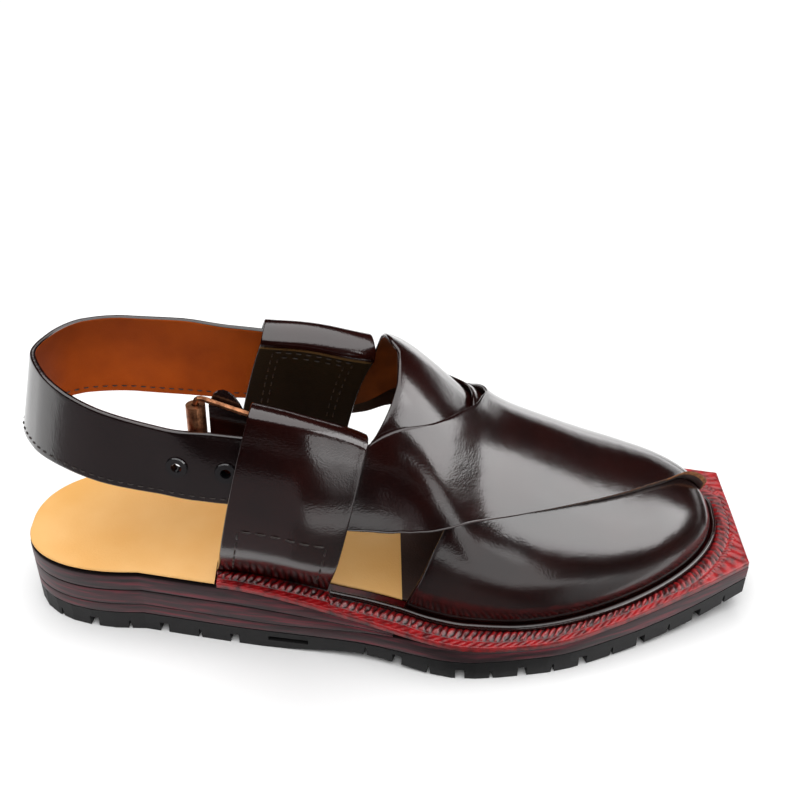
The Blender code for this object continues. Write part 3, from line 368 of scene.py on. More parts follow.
SECTIONS = dict(
    at=(0.28, 0.40, 0.485, 0.53, 0.585, 0.645, 0.705, 0.765, 0.855),
    ridge=(1.24, 1.16, 1.035, 1.00, 0.90, 0.735, 0.645, 0.570, 0.460),
    middle=(0.0, 0.0, 0.02, 0.03, 0.03, 0.04, 0.05, 0.06, 0.07),
    slope=(0.0, 0.0, 0.0, 0.0, 0.03, 0.06, 0.08, 0.09, 0.09),
    wall=(0.52, 0.58, 0.80, 0.93, 0.80, 0.64, 0.62, 0.62, 0.66),
    lean_lateral=(0.24, 0.23, 0.17, 0.14, 0.12, 0.12, 0.12, 0.12, 0.13),
    lean_medial=(0.19, 0.18, 0.15, 0.14, 0.11, 0.09, 0.08, 0.08, 0.10),
    shoulder_lateral=(0.80, 0.75, 0.45, 0.36, 0.52, 0.64, 0.66, 0.68, 0.70),
    shoulder_medial=(0.80, 0.75, 0.45, 0.36, 0.38, 0.40, 0.43, 0.46, 0.54),
)


# %% Curves
def unit(vectors):
    return vectors / np.linalg.norm(vectors, axis=-1, keepdims=True)


def lengths(line):
    """How far along the line each of its points is."""
    return np.r_[0.0, np.cumsum(np.linalg.norm(np.diff(line, axis=0), axis=1))]


def read_line(line, far, at):
    """The line at places between those of its points."""
    return np.stack([np.interp(at, far, column) for column in line.T], axis=-1)


def smooth(table, column, at):
    """The table's column at the places `at`: a smooth curve through the rows, with no overshoot."""
    x = np.asarray(table["at"], float)
    y = np.asarray(table[column], float)
    at = np.clip(np.asarray(at, float), x[0], x[-1])
    step = np.diff(x)
    slope = np.diff(y) / step
    bend = np.zeros_like(y)
    for i in range(1, len(x) - 1):
        if slope[i - 1] * slope[i] > 0:
            a, b = 2 * step[i] + step[i - 1], step[i] + 2 * step[i - 1]
            bend[i] = (a + b) / (a / slope[i - 1] + b / slope[i])
    bend[0], bend[-1] = slope[0], slope[-1]
    i = np.clip(np.searchsorted(x, at, side="right") - 1, 0, len(step) - 1)
    h = step[i]
    t = (at - x[i]) / h
    return (
        y[i] * (1 + 2 * t) * (1 - t) ** 2 + bend[i] * h * t * (1 - t) ** 2
        + y[i + 1] * t * t * (3 - 2 * t) + bend[i + 1] * h * t * t * (t - 1)
    )


def through(points, shares):
    """A smooth curve through 2-D points, read at shares of its length."""
    points = np.asarray(points, float)
    chord = np.linalg.norm(np.diff(points * (SOLE_LENGTH, BALL_WIDTH), axis=0), axis=1)
    chord = np.r_[0.0, np.cumsum(chord)] / chord.sum()
    return np.stack([smooth(dict(at=chord, v=points[:, k]), "v", shares) for k in range(2)], axis=-1)


# %% Sole lines
def sole_top(x):
    rise = smooth(TOP_VIEW, "rise", np.asarray(x) / SOLE_LENGTH)
    return BALL_HEIGHT + (HEEL_HEIGHT - BALL_HEIGHT) * rise


def rubber_top(x):
    share = np.clip(np.asarray(x, float) / SOLE_LENGTH, 0, 1)
    toe = np.clip((share - SPRING_START) / (1 - SPRING_START), 0, 1)
    return RUBBER + TOE_SPRING * SPRING_SHARE * toe ** SPRING_CURVE


def sole_side(side, x):
    return BALL_WIDTH * smooth(PLAN, side, np.asarray(x) / SOLE_LENGTH)


def footprint(heel_steps=8, steps=26):
    """Matching points along both edges from the heel to the toe, and the inward directions there."""
    start = PLAN["at"][0] * SOLE_LENGTH
    turn = np.radians(np.linspace(5, 90, heel_steps))
    ahead = np.linspace(start, SOLE_LENGTH, steps + 1)[1:]
    edges = []
    for side, sign in (("lateral", -1), ("medial", 1)):
        x = np.r_[start * (1 - np.cos(turn) ** (2 / HEEL_ROUND)), ahead]
        y = np.r_[sole_side(side, start) * np.sin(turn) ** (2 / HEEL_ROUND), sole_side(side, ahead)]
        run = unit(np.stack([np.gradient(x), np.gradient(y)], axis=-1))
        inward = np.stack([run[:, 1], -sign * run[:, 0]], axis=-1)
        edges.append((np.stack([x, sign * y], axis=-1), inward))
    return edges


def feather(side, x):
    """The y of the line where the upper meets the sole."""
    x = np.asarray(x, float)
    sign = 1 if side == "medial" else -1
    reach = BALL_WIDTH * smooth(FEATHER, side, x / TOE_TIP)
    blend = TOE_BLEND * TOE_TIP
    widest = BALL_WIDTH * smooth(FEATHER, side, TOE_BLEND) - sign * TOE_CENTRE
    along = np.clip((x - blend) / (TOE_TIP - blend), 0, 1)
    p, q = TOE_SHAPE[side]
    rounded = sign * TOE_CENTRE + widest * (1 - along ** p) ** (1 / q)
    return sign * np.where(x < blend, reach, rounded)


# %% Surface of the last
def base_height(x):
    return sole_top(x) + CLEARANCE


def crest_line(x):
    blend = CREST_BLEND * TOE_TIP
    along = np.clip((x - blend) / (TOE_TIP - blend), 0, 1)
    p, q = CREST_SHAPE
    full = INSTEP_HEIGHT * smooth(SECTIONS, "ridge", CREST_BLEND) - base_height(blend)
    toe = base_height(x) + full * (1 - along ** p) ** q
    return np.where(x < blend, INSTEP_HEIGHT * smooth(SECTIONS, "ridge", x / TOE_TIP), toe)


def crest_height(x):
    """The crest, eased where its two curves meet."""
    x = np.asarray(x, float)
    reach = np.clip((TOE_TIP - x) * CREST_EASE[1], 0, CREST_EASE[0])
    return sum(w * crest_line(x + reach * d) for d, w in EASE_WEIGHTS)


def last_point(x, place):
    """A point on the last; place runs from -1 (lateral feather line) over the crest to +1."""
    x, place = np.broadcast_arrays(np.asarray(x, float), np.asarray(place, float))
    share = x / TOE_TIP
    base_y = np.where(place < 0, feather("lateral", x), feather("medial", x))
    base_z, top_z = base_height(x), crest_height(x)
    height = top_z - base_z
    blend = TOE_BLEND * TOE_TIP
    along = np.clip((x - blend) / (TOE_TIP - blend), 0, 1)
    crest_y = BALL_WIDTH * smooth(SECTIONS, "middle", share)
    crest_y = crest_y + (TOE_CENTRE - crest_y) * along ** 2
    lean, shoulder = (
        np.where(place < 0, smooth(SECTIONS, n + "_lateral", share), smooth(SECTIONS, n + "_medial", share))
        for n in ("lean", "shoulder")
    )
    wall_y = base_y + np.sign(place) * height * lean
    wall_z = base_z + height * smooth(SECTIONS, "wall", share)
    shoulder_y = crest_y + (base_y - crest_y) * shoulder
    shoulder_z = top_z + (shoulder_y - crest_y) * smooth(SECTIONS, "slope", share)
    t = 1 - np.abs(place)
    weights = ((1 - t) ** 3, 3 * (1 - t) ** 2 * t, 3 * (1 - t) * t * t, t ** 3)
    y = sum(w * v for w, v in zip(weights, (base_y, wall_y, shoulder_y, crest_y)))
    z = sum(w * v for w, v in zip(weights, (base_z, wall_z, shoulder_z, top_z)))
    return np.stack([x, y, z], axis=-1)


def off_last(x, place, offset):
    """The last's surface moved out by offset; along the feather line it moves level."""
    x, place = np.broadcast_arrays(np.asarray(x, float), np.asarray(place, float))
    dx, dp = 2e-5, 1e-3
    ahead = np.minimum(x + dx, TOE_TIP - 1e-6)
    along = last_point(ahead, place) - last_point(ahead - 2 * dx, place)
    low, high = np.clip(place - dp, -1, 1), np.clip(place + dp, -1, 1)
    across = last_point(x, high) - last_point(x, low)
    normal = unit(np.cross(along, across))
    level = unit(normal * (1.0, 1.0, 0.0))
    normal = np.where((np.abs(place) > 0.999)[..., None], level, normal)
    moved = last_point(x, place) + normal * np.asarray(offset)[..., None]
    moved[..., 2] = np.maximum(moved[..., 2], base_height(moved[..., 0]))
    return moved


def wall_place(side, x, z):
    """The places on one side of the last where its sections at x reach the heights z."""
    x, z = np.broadcast_arrays(np.asarray(x, float), np.asarray(z, float))
    low, high = np.full(x.shape, 0.02), np.ones(x.shape)
    for _ in range(18):
        middle = (low + high) / 2
        below = last_point(x, side * middle)[..., 2] < z
        high = np.where(below, middle, high)
        low = np.where(below, low, middle)
    return side * (low + high) / 2


print(f"last: {TOE_TIP * 1000:.0f} mm long, instep {INSTEP_HEIGHT * 1000:.0f} mm high")


# %% [markdown]
# ## Making leather
# A piece of leather is a sheet with a cut edge. A grid of points gives its middle, and each point
# also gets the half thickness there, which shrinks to a fine round along the rim. The mesh keeps
# three finishes: the grain side, the flesh or lining side, and the edge.

# %% Sheet of leather
EDGE_STEPS = (0.45, 0.82, 0.96, 1.0)        # half thickness in the rows next to the rim


def mesh_object(name, points, faces, finishes, which=None, values=None):
    """An object from points in the last's coordinates; which is a finish index for each face."""
    mesh = bpy.data.meshes.new(name)
    mesh.from_pydata((np.asarray(points) - SHIFT).tolist(), [], faces)
    for finish in finishes:
        mesh.materials.append(finish)
    if which is not None:
        mesh.polygons.foreach_set("material_index", np.asarray(which, np.int32))
    for key, data in (values or {}).items():
        layer = mesh.attributes.new(key, "FLOAT", "POINT")
        layer.data.foreach_set("value", np.asarray(data, np.float32))
    mesh.validate()
    made = bpy.data.objects.new(name, mesh)
    bpy.context.scene.collection.objects.link(made)
    work = bmesh.new()
    work.from_mesh(mesh)
    bmesh.ops.recalc_face_normals(work, faces=work.faces)
    work.to_mesh(mesh)
    work.free()
    mesh.shade_smooth()
    print(f"{name}: {len(mesh.polygons)} faces")
    return made


def rim_factor(rows, columns):
    """How thick the sheet is at each point, as a share of its full thickness."""
    def along(count):
        near = np.minimum(np.arange(count), np.arange(count)[::-1])
        return np.array([EDGE_STEPS[min(k, len(EDGE_STEPS) - 1)] for k in near])
    return np.minimum(along(rows)[:, None], along(columns)[None])


def edged(count, first):
    """Shares from 0 to 1 with three extra ones close to both ends, for the round of the rim."""
    lead = np.array([0.0, 0.25, 0.6]) * first
    return np.r_[lead, np.linspace(first, 1 - first, count), 1 - lead[::-1]]


def leather_sheet(name, inner, outer, finishes, keep=None):
    """A closed sheet between two grids; finishes are grain, lining and edge."""
    rows, columns = inner.shape[:2]
    count = rows * columns
    at = np.arange(count).reshape(rows, columns)
    faces, which = [], []
    for i in range(rows - 1):
        for j in range(columns - 1):
            if keep is not None and not keep[i, j]:
                continue
            quad = (int(at[i, j]), int(at[i + 1, j]), int(at[i + 1, j + 1]), int(at[i, j + 1]))
            rim = min(i, rows - 2 - i) < 1 or min(j, columns - 2 - j) < 1
            faces += [quad, tuple(k + count for k in reversed(quad))]
            which += [2 if rim else 1, 2 if rim else 0]
    rim = np.r_[at[:-1, 0], at[-1, :-1], at[:0:-1, -1], at[0, :0:-1]]
    for a, b in zip(rim.tolist(), np.roll(rim, -1).tolist()):
        faces.append((b, a, a + count, b + count))
        which.append(2)
    return mesh_object(name, np.concatenate([inner.reshape(-1, 3), outer.reshape(-1, 3)]), faces,
                       finishes, which)


def edge_rings(sides, low, high, profile):
    """Closed sections of a flat piece. Each side follows the profile of draws and height shares."""
    rings = []
    for ends in zip(zip(*sides[0]), zip(*sides[1])):
        ring = []
        for (edge, way), order in zip(ends, (1, -1)):
            base, top = float(low(edge[0])), float(high(edge[0]))
            for draw, rise in profile[::order]:
                at = edge + way * draw
                ring.append((at[0], at[1], base + (top - base) * rise))
        rings.append(ring)
    return np.array(rings)


def ring_faces(count, size):
    """A cap on each end and the faces between closed sections, counted along the points."""
    faces = [tuple(range(size)), tuple(range(count * size - 1, (count - 1) * size - 1, -1))]
    for i in range(0, (count - 1) * size, size):
        faces += [(i + j, i + size + j, i + size + (j + 1) % size, i + (j + 1) % size) for j in range(size)]
    return faces


def grid_normals(grid):
    return unit(np.cross(np.gradient(grid, axis=0), np.gradient(grid, axis=1)))


def two_walls(grid, wall):
    """The two faces of a sheet whose middle is the grid."""
    push = grid_normals(grid) * (wall / 2 * rim_factor(*grid.shape[:2]))[..., None]
    return grid - push, grid + push


# %% [markdown]
# ### Stitches
# Each stitch is a short, slightly arched length of waxed thread that dips into the leather at both
# ends. All the stitches of one run are one mesh.

# %% Stitches
STITCH_SIDES = 6
STITCH_ARCH = (-0.9, 0.25, 0.6, 0.6, 0.25, -0.9)
STITCH_THICK = (0.45, 0.9, 1.0, 1.0, 0.9, 0.45)


def stitch_run(name, lines, normals, length, gap, radius):
    """Stitches along lines of points; normals point out of the leather at each of them."""
    points, faces = [], []
    for line, normal in zip(lines, normals):
        line, normal = np.asarray(line), np.asarray(normal)
        far = lengths(line)
        count = max(1, int(far[-1] / (length + gap)))
        for k in range(count):
            where = (k + 0.5) * far[-1] / count + np.linspace(-0.5, 0.5, len(STITCH_ARCH)) * length
            out = unit(read_line(normal, far, where))
            spine = read_line(line, far, where) + out * (np.array(STITCH_ARCH) * radius)[:, None]
            side = np.cross(unit(np.gradient(spine, axis=0)), out)
            thick = radius * np.array(STITCH_THICK)
            start = len(points)
            for p, o, s, r in zip(spine, out, side, thick):
                for turn in np.arange(STITCH_SIDES) * 2 * math.pi / STITCH_SIDES:
                    points.append(p + r * (o * math.cos(turn) + s * math.sin(turn)))
            for i in range(len(STITCH_ARCH) - 1):
                for j in range(STITCH_SIDES):
                    a, b = start + i * STITCH_SIDES + j, start + i * STITCH_SIDES + (j + 1) % STITCH_SIDES
                    faces.append((a, b, b + STITCH_SIDES, a + STITCH_SIDES))
            faces.append(tuple(range(start + STITCH_SIDES - 1, start - 1, -1)))
            faces.append(tuple(range(len(points) - STITCH_SIDES, len(points))))
    made = mesh_object(name, np.array(points), faces, [thread])
    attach(made, "root")
    return made


# %% [markdown]
# ## Sole
# The rubber tread is a moulding whose lugs are in the CAD solid, so it only gets its material. The
# leather above it is drawn again. Each layer's edge draws back a little at its glue lines, so thin dark
# lines run round the shoe.

# %% Rubber tread
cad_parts["outsole"].data.materials.clear()
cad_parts["outsole"].data.materials.append(rubber)
print("outsole:", rubber.name)

# %% Stacked layers
GLUE_LINE = 0.00020                         # how far the edge draws back at a glue line
SHARP = math.radians(50)
LAYER_EDGE = ((0.0, 1.0), (0.03, 0.3), (0.07, 0.0), (0.5, 0.0), (0.93, 0.0), (0.97, 0.3), (1.0, 1.0))


def deck(x):
    return sole_top(x) - WELT_THICK


def wedge_height(x):
    """Height of the wedge on the runner; it fades out before the ball."""
    full = deck(0.0) - rubber_top(0.0) - CLEARANCE - RUNNER_THICK
    start, end = (share * SOLE_LENGTH for share in WEDGE)
    fade = np.clip((np.asarray(x, float) - start) / (end - start), 0, 1)
    return full * (1 - fade * fade * (3 - 2 * fade))


def runner_top(x):
    return deck(x) - wedge_height(x)


def stacked_layer(name, bottom, top, thinnest=0.0):
    sides = []
    for edge, way in footprint(40, 150):
        keep = top(edge[:, 0]) - bottom(edge[:, 0]) > thinnest
        sides.append((edge[keep], way[keep]))
    rings = edge_rings(sides, bottom, top, [(draw * GLUE_LINE, rise) for rise, draw in LAYER_EDGE])
    depth = np.tile([draw for _, draw in LAYER_EDGE] * 2, len(rings))
    made = mesh_object(name, rings.reshape(-1, 3), ring_faces(*rings.shape[:2]), [sole_stack],
                       values=dict(depth=depth))
    made.data.set_sharp_from_angle(angle=SHARP)
    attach(made, "root")
    return made


runner = stacked_layer("runner_layers", lambda x: rubber_top(x) + CLEARANCE, runner_top)
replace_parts(runner, "midsole_runner")
for name, low, high in (("lower", 0.0, 0.5), ("upper", 0.5, 1.0)):
    lift = stacked_layer(
        f"heel_lift_{name}_layers",
        lambda x: runner_top(x) + wedge_height(x) * low + CLEARANCE,
        lambda x: runner_top(x) + wedge_height(x) * high,
        2 * CLEARANCE,
    )
    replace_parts(lift, f"heel_lift_{name}")

# %% Insole
# Each side's profile, from below: how far it draws back in metres, and its share of the thickness.
INSOLE_EDGE = ((0.0012, 0.0), (0.0011, 0.52), (0.0001, 0.60), (0.0, 0.75), (0.0002, 0.93), (0.0007, 1.0))
INSOLE_DARK = 2                             # the lowest steps of the profile are painted dark: the glue line and painted shade under the edge
PAINTED_SHADE_START = 0.1493                         # from here on the insole is painted dark: painted shade under the vamp


def feather_line(offset, steps=400):
    """The upper's foot from the lateral heel end round the toe to the medial one, moved outward."""
    x = TOE_TIP * np.sin(np.linspace(math.asin(0.25), math.pi / 2, steps))
    lateral = np.stack([x, feather("lateral", x)], axis=-1)
    medial = np.stack([x, feather("medial", x)], axis=-1)[::-1][1:]
    line = np.concatenate([lateral, medial])
    run = unit(np.gradient(line, axis=0))
    return line + offset * np.stack([run[:, 1], -run[:, 0]], axis=-1)


def insole_sheet():
    """Full width at the heel, where its edge shows, and inside the upper's walls from there on."""
    step = WELT_START - CLEARANCE
    inset = WELT_LAP + 3 * CLEARANCE
    line = feather_line(-inset)
    ahead = step + (TOE_TIP - inset - step) * np.sin(np.linspace(0.001, 1.53, 60))
    ahead = np.sort(np.r_[ahead, PAINTED_SHADE_START])
    sides = []
    for (edge, way), sign, part in zip(footprint(40, 150), (-1, 1), (line[:400], line[:398:-1])):
        keep = edge[:, 0] < step - 2 * CLEARANCE
        front = np.stack([ahead, np.interp(ahead, *part.T)], axis=-1)
        points = np.concatenate([edge[keep], [(step, np.interp(step, *edge.T))], front])
        ways = np.concatenate([way[keep], way[keep][-1:], np.tile((0.0, -float(sign)), (len(front), 1))])
        sides.append((points + ways * CLEARANCE, ways))
    rings = edge_rings(sides, lambda x: deck(x) + CLEARANCE, sole_top, INSOLE_EDGE)
    count, size = rings.shape[:2]
    dark = [j < INSOLE_DARK or size - 2 - j < INSOLE_DARK for j in range(size - 1)] + [True]
    rear = [(j, j + 1, size - 2 - j, size - 1 - j) for j in range(size // 2 - 1)]
    which = [int(j < INSOLE_DARK) for j in range(len(rear))] + [1]
    for ring in rings[:-1]:
        # Painted shade: under the vamp the insole's top takes the dark lining colour.
        shaded_under_vamp = 2 * int(ring[0, 0] > PAINTED_SHADE_START - 0.00001)
        which += [1 if low else shaded_under_vamp for low in dark]
    made = mesh_object("honey_insole", rings.reshape(-1, 3), rear + ring_faces(count, size)[1:],
                       [insole_tan, calf_edge, lining_and_painted_shade], which)
    made.data.set_sharp_from_angle(angle=SHARP)
    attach(made, "root")
    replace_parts(made, "insole")


insole_sheet()


# %% [markdown]
# ### Welt
# The welt runs round the forefoot. Next to the upper it is carved into slanting ridges like a rope,
# and outside them it is flat with a soft varnished edge. A fine mesh follows the upper's foot, and
# the height of each point comes from its place along and across the strip. Near the squared toe the
# flat part is wider and carries a row of small punched bumps.

# %% Welt and rand
RIDGE_PITCH = 0.0026
RIDGE_HEIGHT = 0.0016
RIDGE_SLANT = 0.9                           # ridges that a slanting ridge passes across the bead
FLAT_STEPS = (0.04, 0.10, 0.18, 0.26, 0.34, 0.42, 0.50, 0.58, 0.66, 0.76, 0.87, 0.95, 0.985, 1.0)
FLAT_WAVE = 0.00018
PUNCH_FROM = 0.0008                         # the row of bumps, measured from the bead
PUNCH_WIDTH = 0.0018
PUNCH_HEIGHT = 0.0009
PUNCH_PITCH = 0.62 * RIDGE_PITCH
PUNCH_ROOM = 0.0045                         # the flat part has bumps where it is wider than this
HUB_SHARE = 0.72                            # where the rays round the toe start, of the sole's length
BEAD_MIDDLE = 0.006
RAND_WIDTH = 0.0022
RAND_HEIGHT = 0.0022
PANEL_WALL = 0.0018
OVER_STEP = 0.0016
OVER_FADE = 0.008                           # width over which the over panel's step comes in
STATION_STEP = 0.00040
RAND_START = 0.436 * TOE_TIP + CLEARANCE


def crossing(line, start, way):
    """How far from start the line of points is met."""
    off = (line - start) @ np.array([-way[1], way[0]])
    far = (line - start) @ way
    i = np.nonzero((off[:-1] <= 0) != (off[1:] <= 0))[0]
    t = off[i] / (off[i] - off[i + 1])
    return float(np.max(far[i] + t * (far[i + 1] - far[i])))


def stations(first_x, step):
    """Rays out of the shoe's middle, evenly spaced where they cross the carved bead."""
    hub = np.array([HUB_SHARE * SOLE_LENGTH, TOE_CENTRE])
    line = feather_line(BEAD_MIDDLE)
    line = line[line[:, 0] > first_x]
    far = lengths(line)
    at = np.arange(0.0, far[-1], step)
    rays = []
    for point in read_line(line, far, at):
        if point[0] < hub[0]:
            start, way = np.array([point[0], hub[1]]), np.array([0.0, math.copysign(1, point[1] - hub[1])])
        else:
            start, way = hub, (point - hub) / np.linalg.norm(point - hub)
        rays.append((start, way))
    return rays, at


def foot_of_upper(start, way):
    """How far out the outer face of the upper meets the sole, with a clearance."""
    near, far = (crossing(line, start, way) for line in FOOT_LINES)
    over = min(max((start[1] + way[1] * near - TOE_CENTRE) / OVER_FADE, 0.0), 1.0)
    return near + (far - near) * over


FOOT_LINES = [feather_line(PANEL_WALL + 2 * CLEARANCE + step) for step in (0.0, OVER_STEP)]
(edge_l, _), (edge_m, _) = footprint(20, 150)
SOLE_LINE = np.concatenate([edge_l, edge_m[::-1]])
ROOT_LINE = feather_line(-WELT_LAP)


def carved_welt():
    rays, along = stations(WELT_START + CLEARANCE, STATION_STEP)
    points, depth = [], []
    for (start, way), far in zip(rays, along):
        rim, root = crossing(SOLE_LINE, start, way), crossing(ROOT_LINE, start, way)
        beyond = min(max((start[0] - RAND_START) / (2 * CLEARANCE), 0.0), 1.0)
        foot = foot_of_upper(start, way) + (RAND_WIDTH + CLEARANCE) * beyond
        end = min(max(rim - WELT_MARGIN, foot + 0.0012), foot + BEAD_WIDTH)
        ring = [(root, -WELT_THICK + CLEARANCE, 0.6), (root, 0.0, 0.6), (foot - 0.0002, -0.0001, 0.9)]
        jitter = 0.09 * math.sin(far * 2100) + 0.07 * math.sin(far * 911 + 1.0)
        for u in np.linspace(0.0, 1.0, 13):
            wave = math.sin(math.pi * (far / RIDGE_PITCH + (u + 0.25 * u * u) * RIDGE_SLANT + jitter))
            crown = math.sin(math.pi * min(max(u, 0.02), 0.98)) ** 0.45
            lift = abs(wave) ** 1.3
            height = RIDGE_HEIGHT * crown * (0.10 + 0.90 * lift)
            # Painted shade: the lower a point lies between the ridges, the darker it is painted.
            ring.append((foot + (end - foot) * u, height, min(1.0, (1 - lift) ** 1.1 * 1.15)))
        width = rim - end
        for v in FLAT_STEPS:
            from_bead = width * v
            height = FLAT_WAVE * math.sin(far * 1900 + v * 9) * math.sin(math.pi * v)
            # Painted shade on the flat next to the bead, and below in the gaps between the punched bumps.
            dark = max(0.0, 0.55 - from_bead / 0.0006) * 1.2
            across = (from_bead - PUNCH_FROM) / PUNCH_WIDTH
            if width > PUNCH_ROOM and 0 < across < 1:
                bump = math.sin(math.pi * across)
                beat = abs(math.sin(math.pi * far / PUNCH_PITCH))
                height += PUNCH_HEIGHT * bump * beat
                dark = max(dark, bump * (1 - beat) ** 2)
            edge = max(0.0, v - 0.87) / 0.13
            out = end + from_bead - 0.0002 * edge
            ring.append((out, height - 0.0005 * edge ** 3, min(dark, 1.0)))
        ring.append((rim, -WELT_THICK + CLEARANCE, 0.3))
        for out, rise, dark in ring:
            at = start + way * out
            points.append((at[0], at[1], float(sole_top(at[0])) + rise))
            depth.append(dark)
    faces = ring_faces(len(rays), len(ring))
    made = mesh_object("carved_welt", points, faces, [welt_red], values=dict(depth=depth))
    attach(made, "root")
    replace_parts(made, "welt")


carved_welt()


def leather_rand():
    """A glazed bead that covers the corner between the upper and the welt."""
    rays, _ = stations(RAND_START, 0.0015)
    rings = []
    for start, way in rays:
        root = foot_of_upper(start, way)
        at = start + way * root
        ring = [(at[0], at[1], float(base_height(at[0])))]
        for turn in np.linspace(0, math.pi, 9):
            out = root + RAND_WIDTH * (0.5 - 0.5 * math.cos(turn))
            at = start + way * out
            rise = RAND_HEIGHT * (0.30 + 0.70 * math.sin(turn)) * (1 - 0.25 * turn / math.pi)
            ring.append((at[0], at[1], float(base_height(at[0])) + rise))
        ring.append((at[0], at[1], float(base_height(at[0]))))
        rings.append(ring)
    rings = np.array(rings)
    made = mesh_object("glazed_rand", rings.reshape(-1, 3), ring_faces(*rings.shape[:2]), [calf])
    made.data.set_sharp_from_angle(angle=SHARP)
    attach(made, "root")
    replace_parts(made, "rand")


leather_rand()


# %% [markdown]
# ## Upper
# Two panels cross over the foot. The under panel rises from the outer side of the welt, and the over
# panel from the inner side; each ends in the side loop across from it. Between them at the instep
# lies a folded piece with a tan lining. A panel is a sheet between four edge curves on the last.

# %% Panel edges
OVER_REAR = ((0.410, -0.660), (0.494, -0.560), (0.525, -0.525), (0.553, -0.455), (0.583, -0.330),
             (0.610, -0.180), (0.634, -0.040), (0.646, 0.100), (0.638, 0.320), (0.600, 0.600),
             (0.560, 0.820), (0.545, 1.0))
OVER_FRONT = ((0.410, -0.770), (0.450, -0.785), (0.490, -0.799), (0.520, -0.810), (0.546, -0.790),
              (0.565, -0.757), (0.588, -0.704), (0.634, -0.567), (0.691, -0.466), (0.747, -0.386),
              (0.819, -0.281), (0.872, -0.193), (0.923, -0.083),
              (0.958, 0.060), (0.984, 0.250), (0.990, 0.600), (0.985, 1.0))
UNDER_REAR = ((0.543, -1.0), (0.565, -0.900), (0.579, -0.805), (0.592, -0.710), (0.612, -0.500),
              (0.630, -0.200), (0.634, -0.020), (0.635, 0.100), (0.633, 0.200), (0.628, 0.300),
              (0.616, 0.400), (0.600, 0.480), (0.578, 0.540), (0.550, 0.590), (0.520, 0.620),
              (0.497, 0.640), (0.410, 0.700))
UNDER_FRONT = ((0.9999, -1.0), (0.9999, -0.5), (0.9999, 0.0), (0.9999, 0.5), (0.9990, 0.95),
               (0.960, 0.97), (0.880, 0.90), (0.690, 0.82), (0.495, 0.800), (0.410, 0.800))
INSTEP_REAR = ((0.410, -0.680), (0.496, -0.570), (0.516, -0.485), (0.526, -0.410), (0.535, -0.270),
               (0.537, -0.065), (0.526, 0.120), (0.512, 0.380), (0.498, 0.570), (0.410, 0.680))
INSTEP_FRONT = ((0.410, -0.780), (0.520, -0.740), (0.640, -0.450), (0.705, 0.0), (0.640, 0.450),
                (0.520, 0.740), (0.410, 0.780))


def patch(rear, front, start, end, across, along):
    """A four-sided grid of x and place between a rear and a front edge and two end edges."""
    s, t = edged(across, 0.006), np.sin(edged(along, 0.02) * math.pi / 2)
    r, f = through(rear, s), through(front, s)
    a, b = through(start, t), through(end, t)
    s, t = s[:, None, None], t[None, :, None]
    sides = (1 - t) * r[:, None] + t * f[:, None] + (1 - s) * a[None] + s * b[None]
    corners = (1 - s) * (1 - t) * r[0] + s * (1 - t) * r[-1] + (1 - s) * t * f[0] + s * t * f[-1]
    grid = sides - corners
    return grid[..., 0] * TOE_TIP, grid[..., 1]


def soft_step(value, low, high):
    t = np.clip((value - low) / (high - low), 0, 1)
    return t * t * (3 - 2 * t)


def last_sheet(name, x, place, middle, wall, finishes):
    """A sheet on the last, its middle this far out; it keeps its full thickness at the feather line."""
    half = np.where(np.abs(place) > 0.999, wall / 2, wall / 2 * rim_factor(*x.shape))
    made = leather_sheet(name, off_last(x, place, middle - half), off_last(x, place, middle + half), finishes)
    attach(made, "root")
    return made


# %% Under panel
x, place = patch(UNDER_REAR, UNDER_FRONT, (UNDER_REAR[0], (0.77, -1.0), UNDER_FRONT[0]),
                 (UNDER_REAR[-1], UNDER_FRONT[-1]), 150, 60)
last_sheet("under_panel", x, place, PANEL_WALL / 2, PANEL_WALL, [calf, lining_and_painted_shade, calf_edge])

# %% [markdown]
# ### Over panel
# Where it leaves the under panel its edge stands a little proud: at the throat it curls up, and at
# the toe it opens in a small mouth that shows the raw tan of its cut edge.

# %% Over panel
CURL = 0.0022
MOUTH = 0.0018
LIP = 0.0024                                # the edge's lift where it lies on the under panel
x, place = patch(OVER_REAR, OVER_FRONT, (OVER_REAR[0], OVER_FRONT[0]),
                 (OVER_REAR[-1], (0.76, 1.0), OVER_FRONT[-1]), 150, 60)
from_rear = np.arange(x.shape[1])[None] / x.shape[1]
from_front = from_rear[:, ::-1]
share = x / TOE_TIP
curl = CURL * soft_step(share, 0.590, 0.640) * (1 - soft_step(place, 0.10, 0.40))
curl = curl * (1 - from_rear * 6).clip(0) ** 2
mouth = MOUTH * soft_step(share, 0.90, 0.950) * (1 - soft_step(place, 0.10, 0.45))
mouth = mouth * (1 - from_front * 5).clip(0) ** 2
lip = LIP * (soft_step(share, 0.450, 0.478) + soft_step(share, 0.59, 0.70)) / 2
lip = lip * (1 - soft_step(place, 0.25, 0.7)) * (1 - from_front * 8).clip(0) ** 2
middle = PANEL_WALL + OVER_STEP - PANEL_WALL / 2 + curl + mouth + lip
over = last_sheet("over_panel", x, place, middle, PANEL_WALL,
                  [calf, lining_and_painted_shade, calf_edge, raw_edge, worn_edge])
centres = np.array([p.center[:] for p in over.data.polygons]) + SHIFT
edge_faces = np.array([p.material_index for p in over.data.polygons]) == 2
ahead = centres[:, 0] / TOE_TIP
at_mouth = (ahead > 0.925) & (centres[:, 1] < 0.026) & edge_faces
worn = (ahead > 0.70) & (centres[:, 1] < 0.010) & edge_faces
for polygon, bare, rubbed in zip(over.data.polygons, at_mouth, worn):
    if bare or rubbed:
        polygon.material_index = 3 if bare else 4
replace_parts(over, "upper")

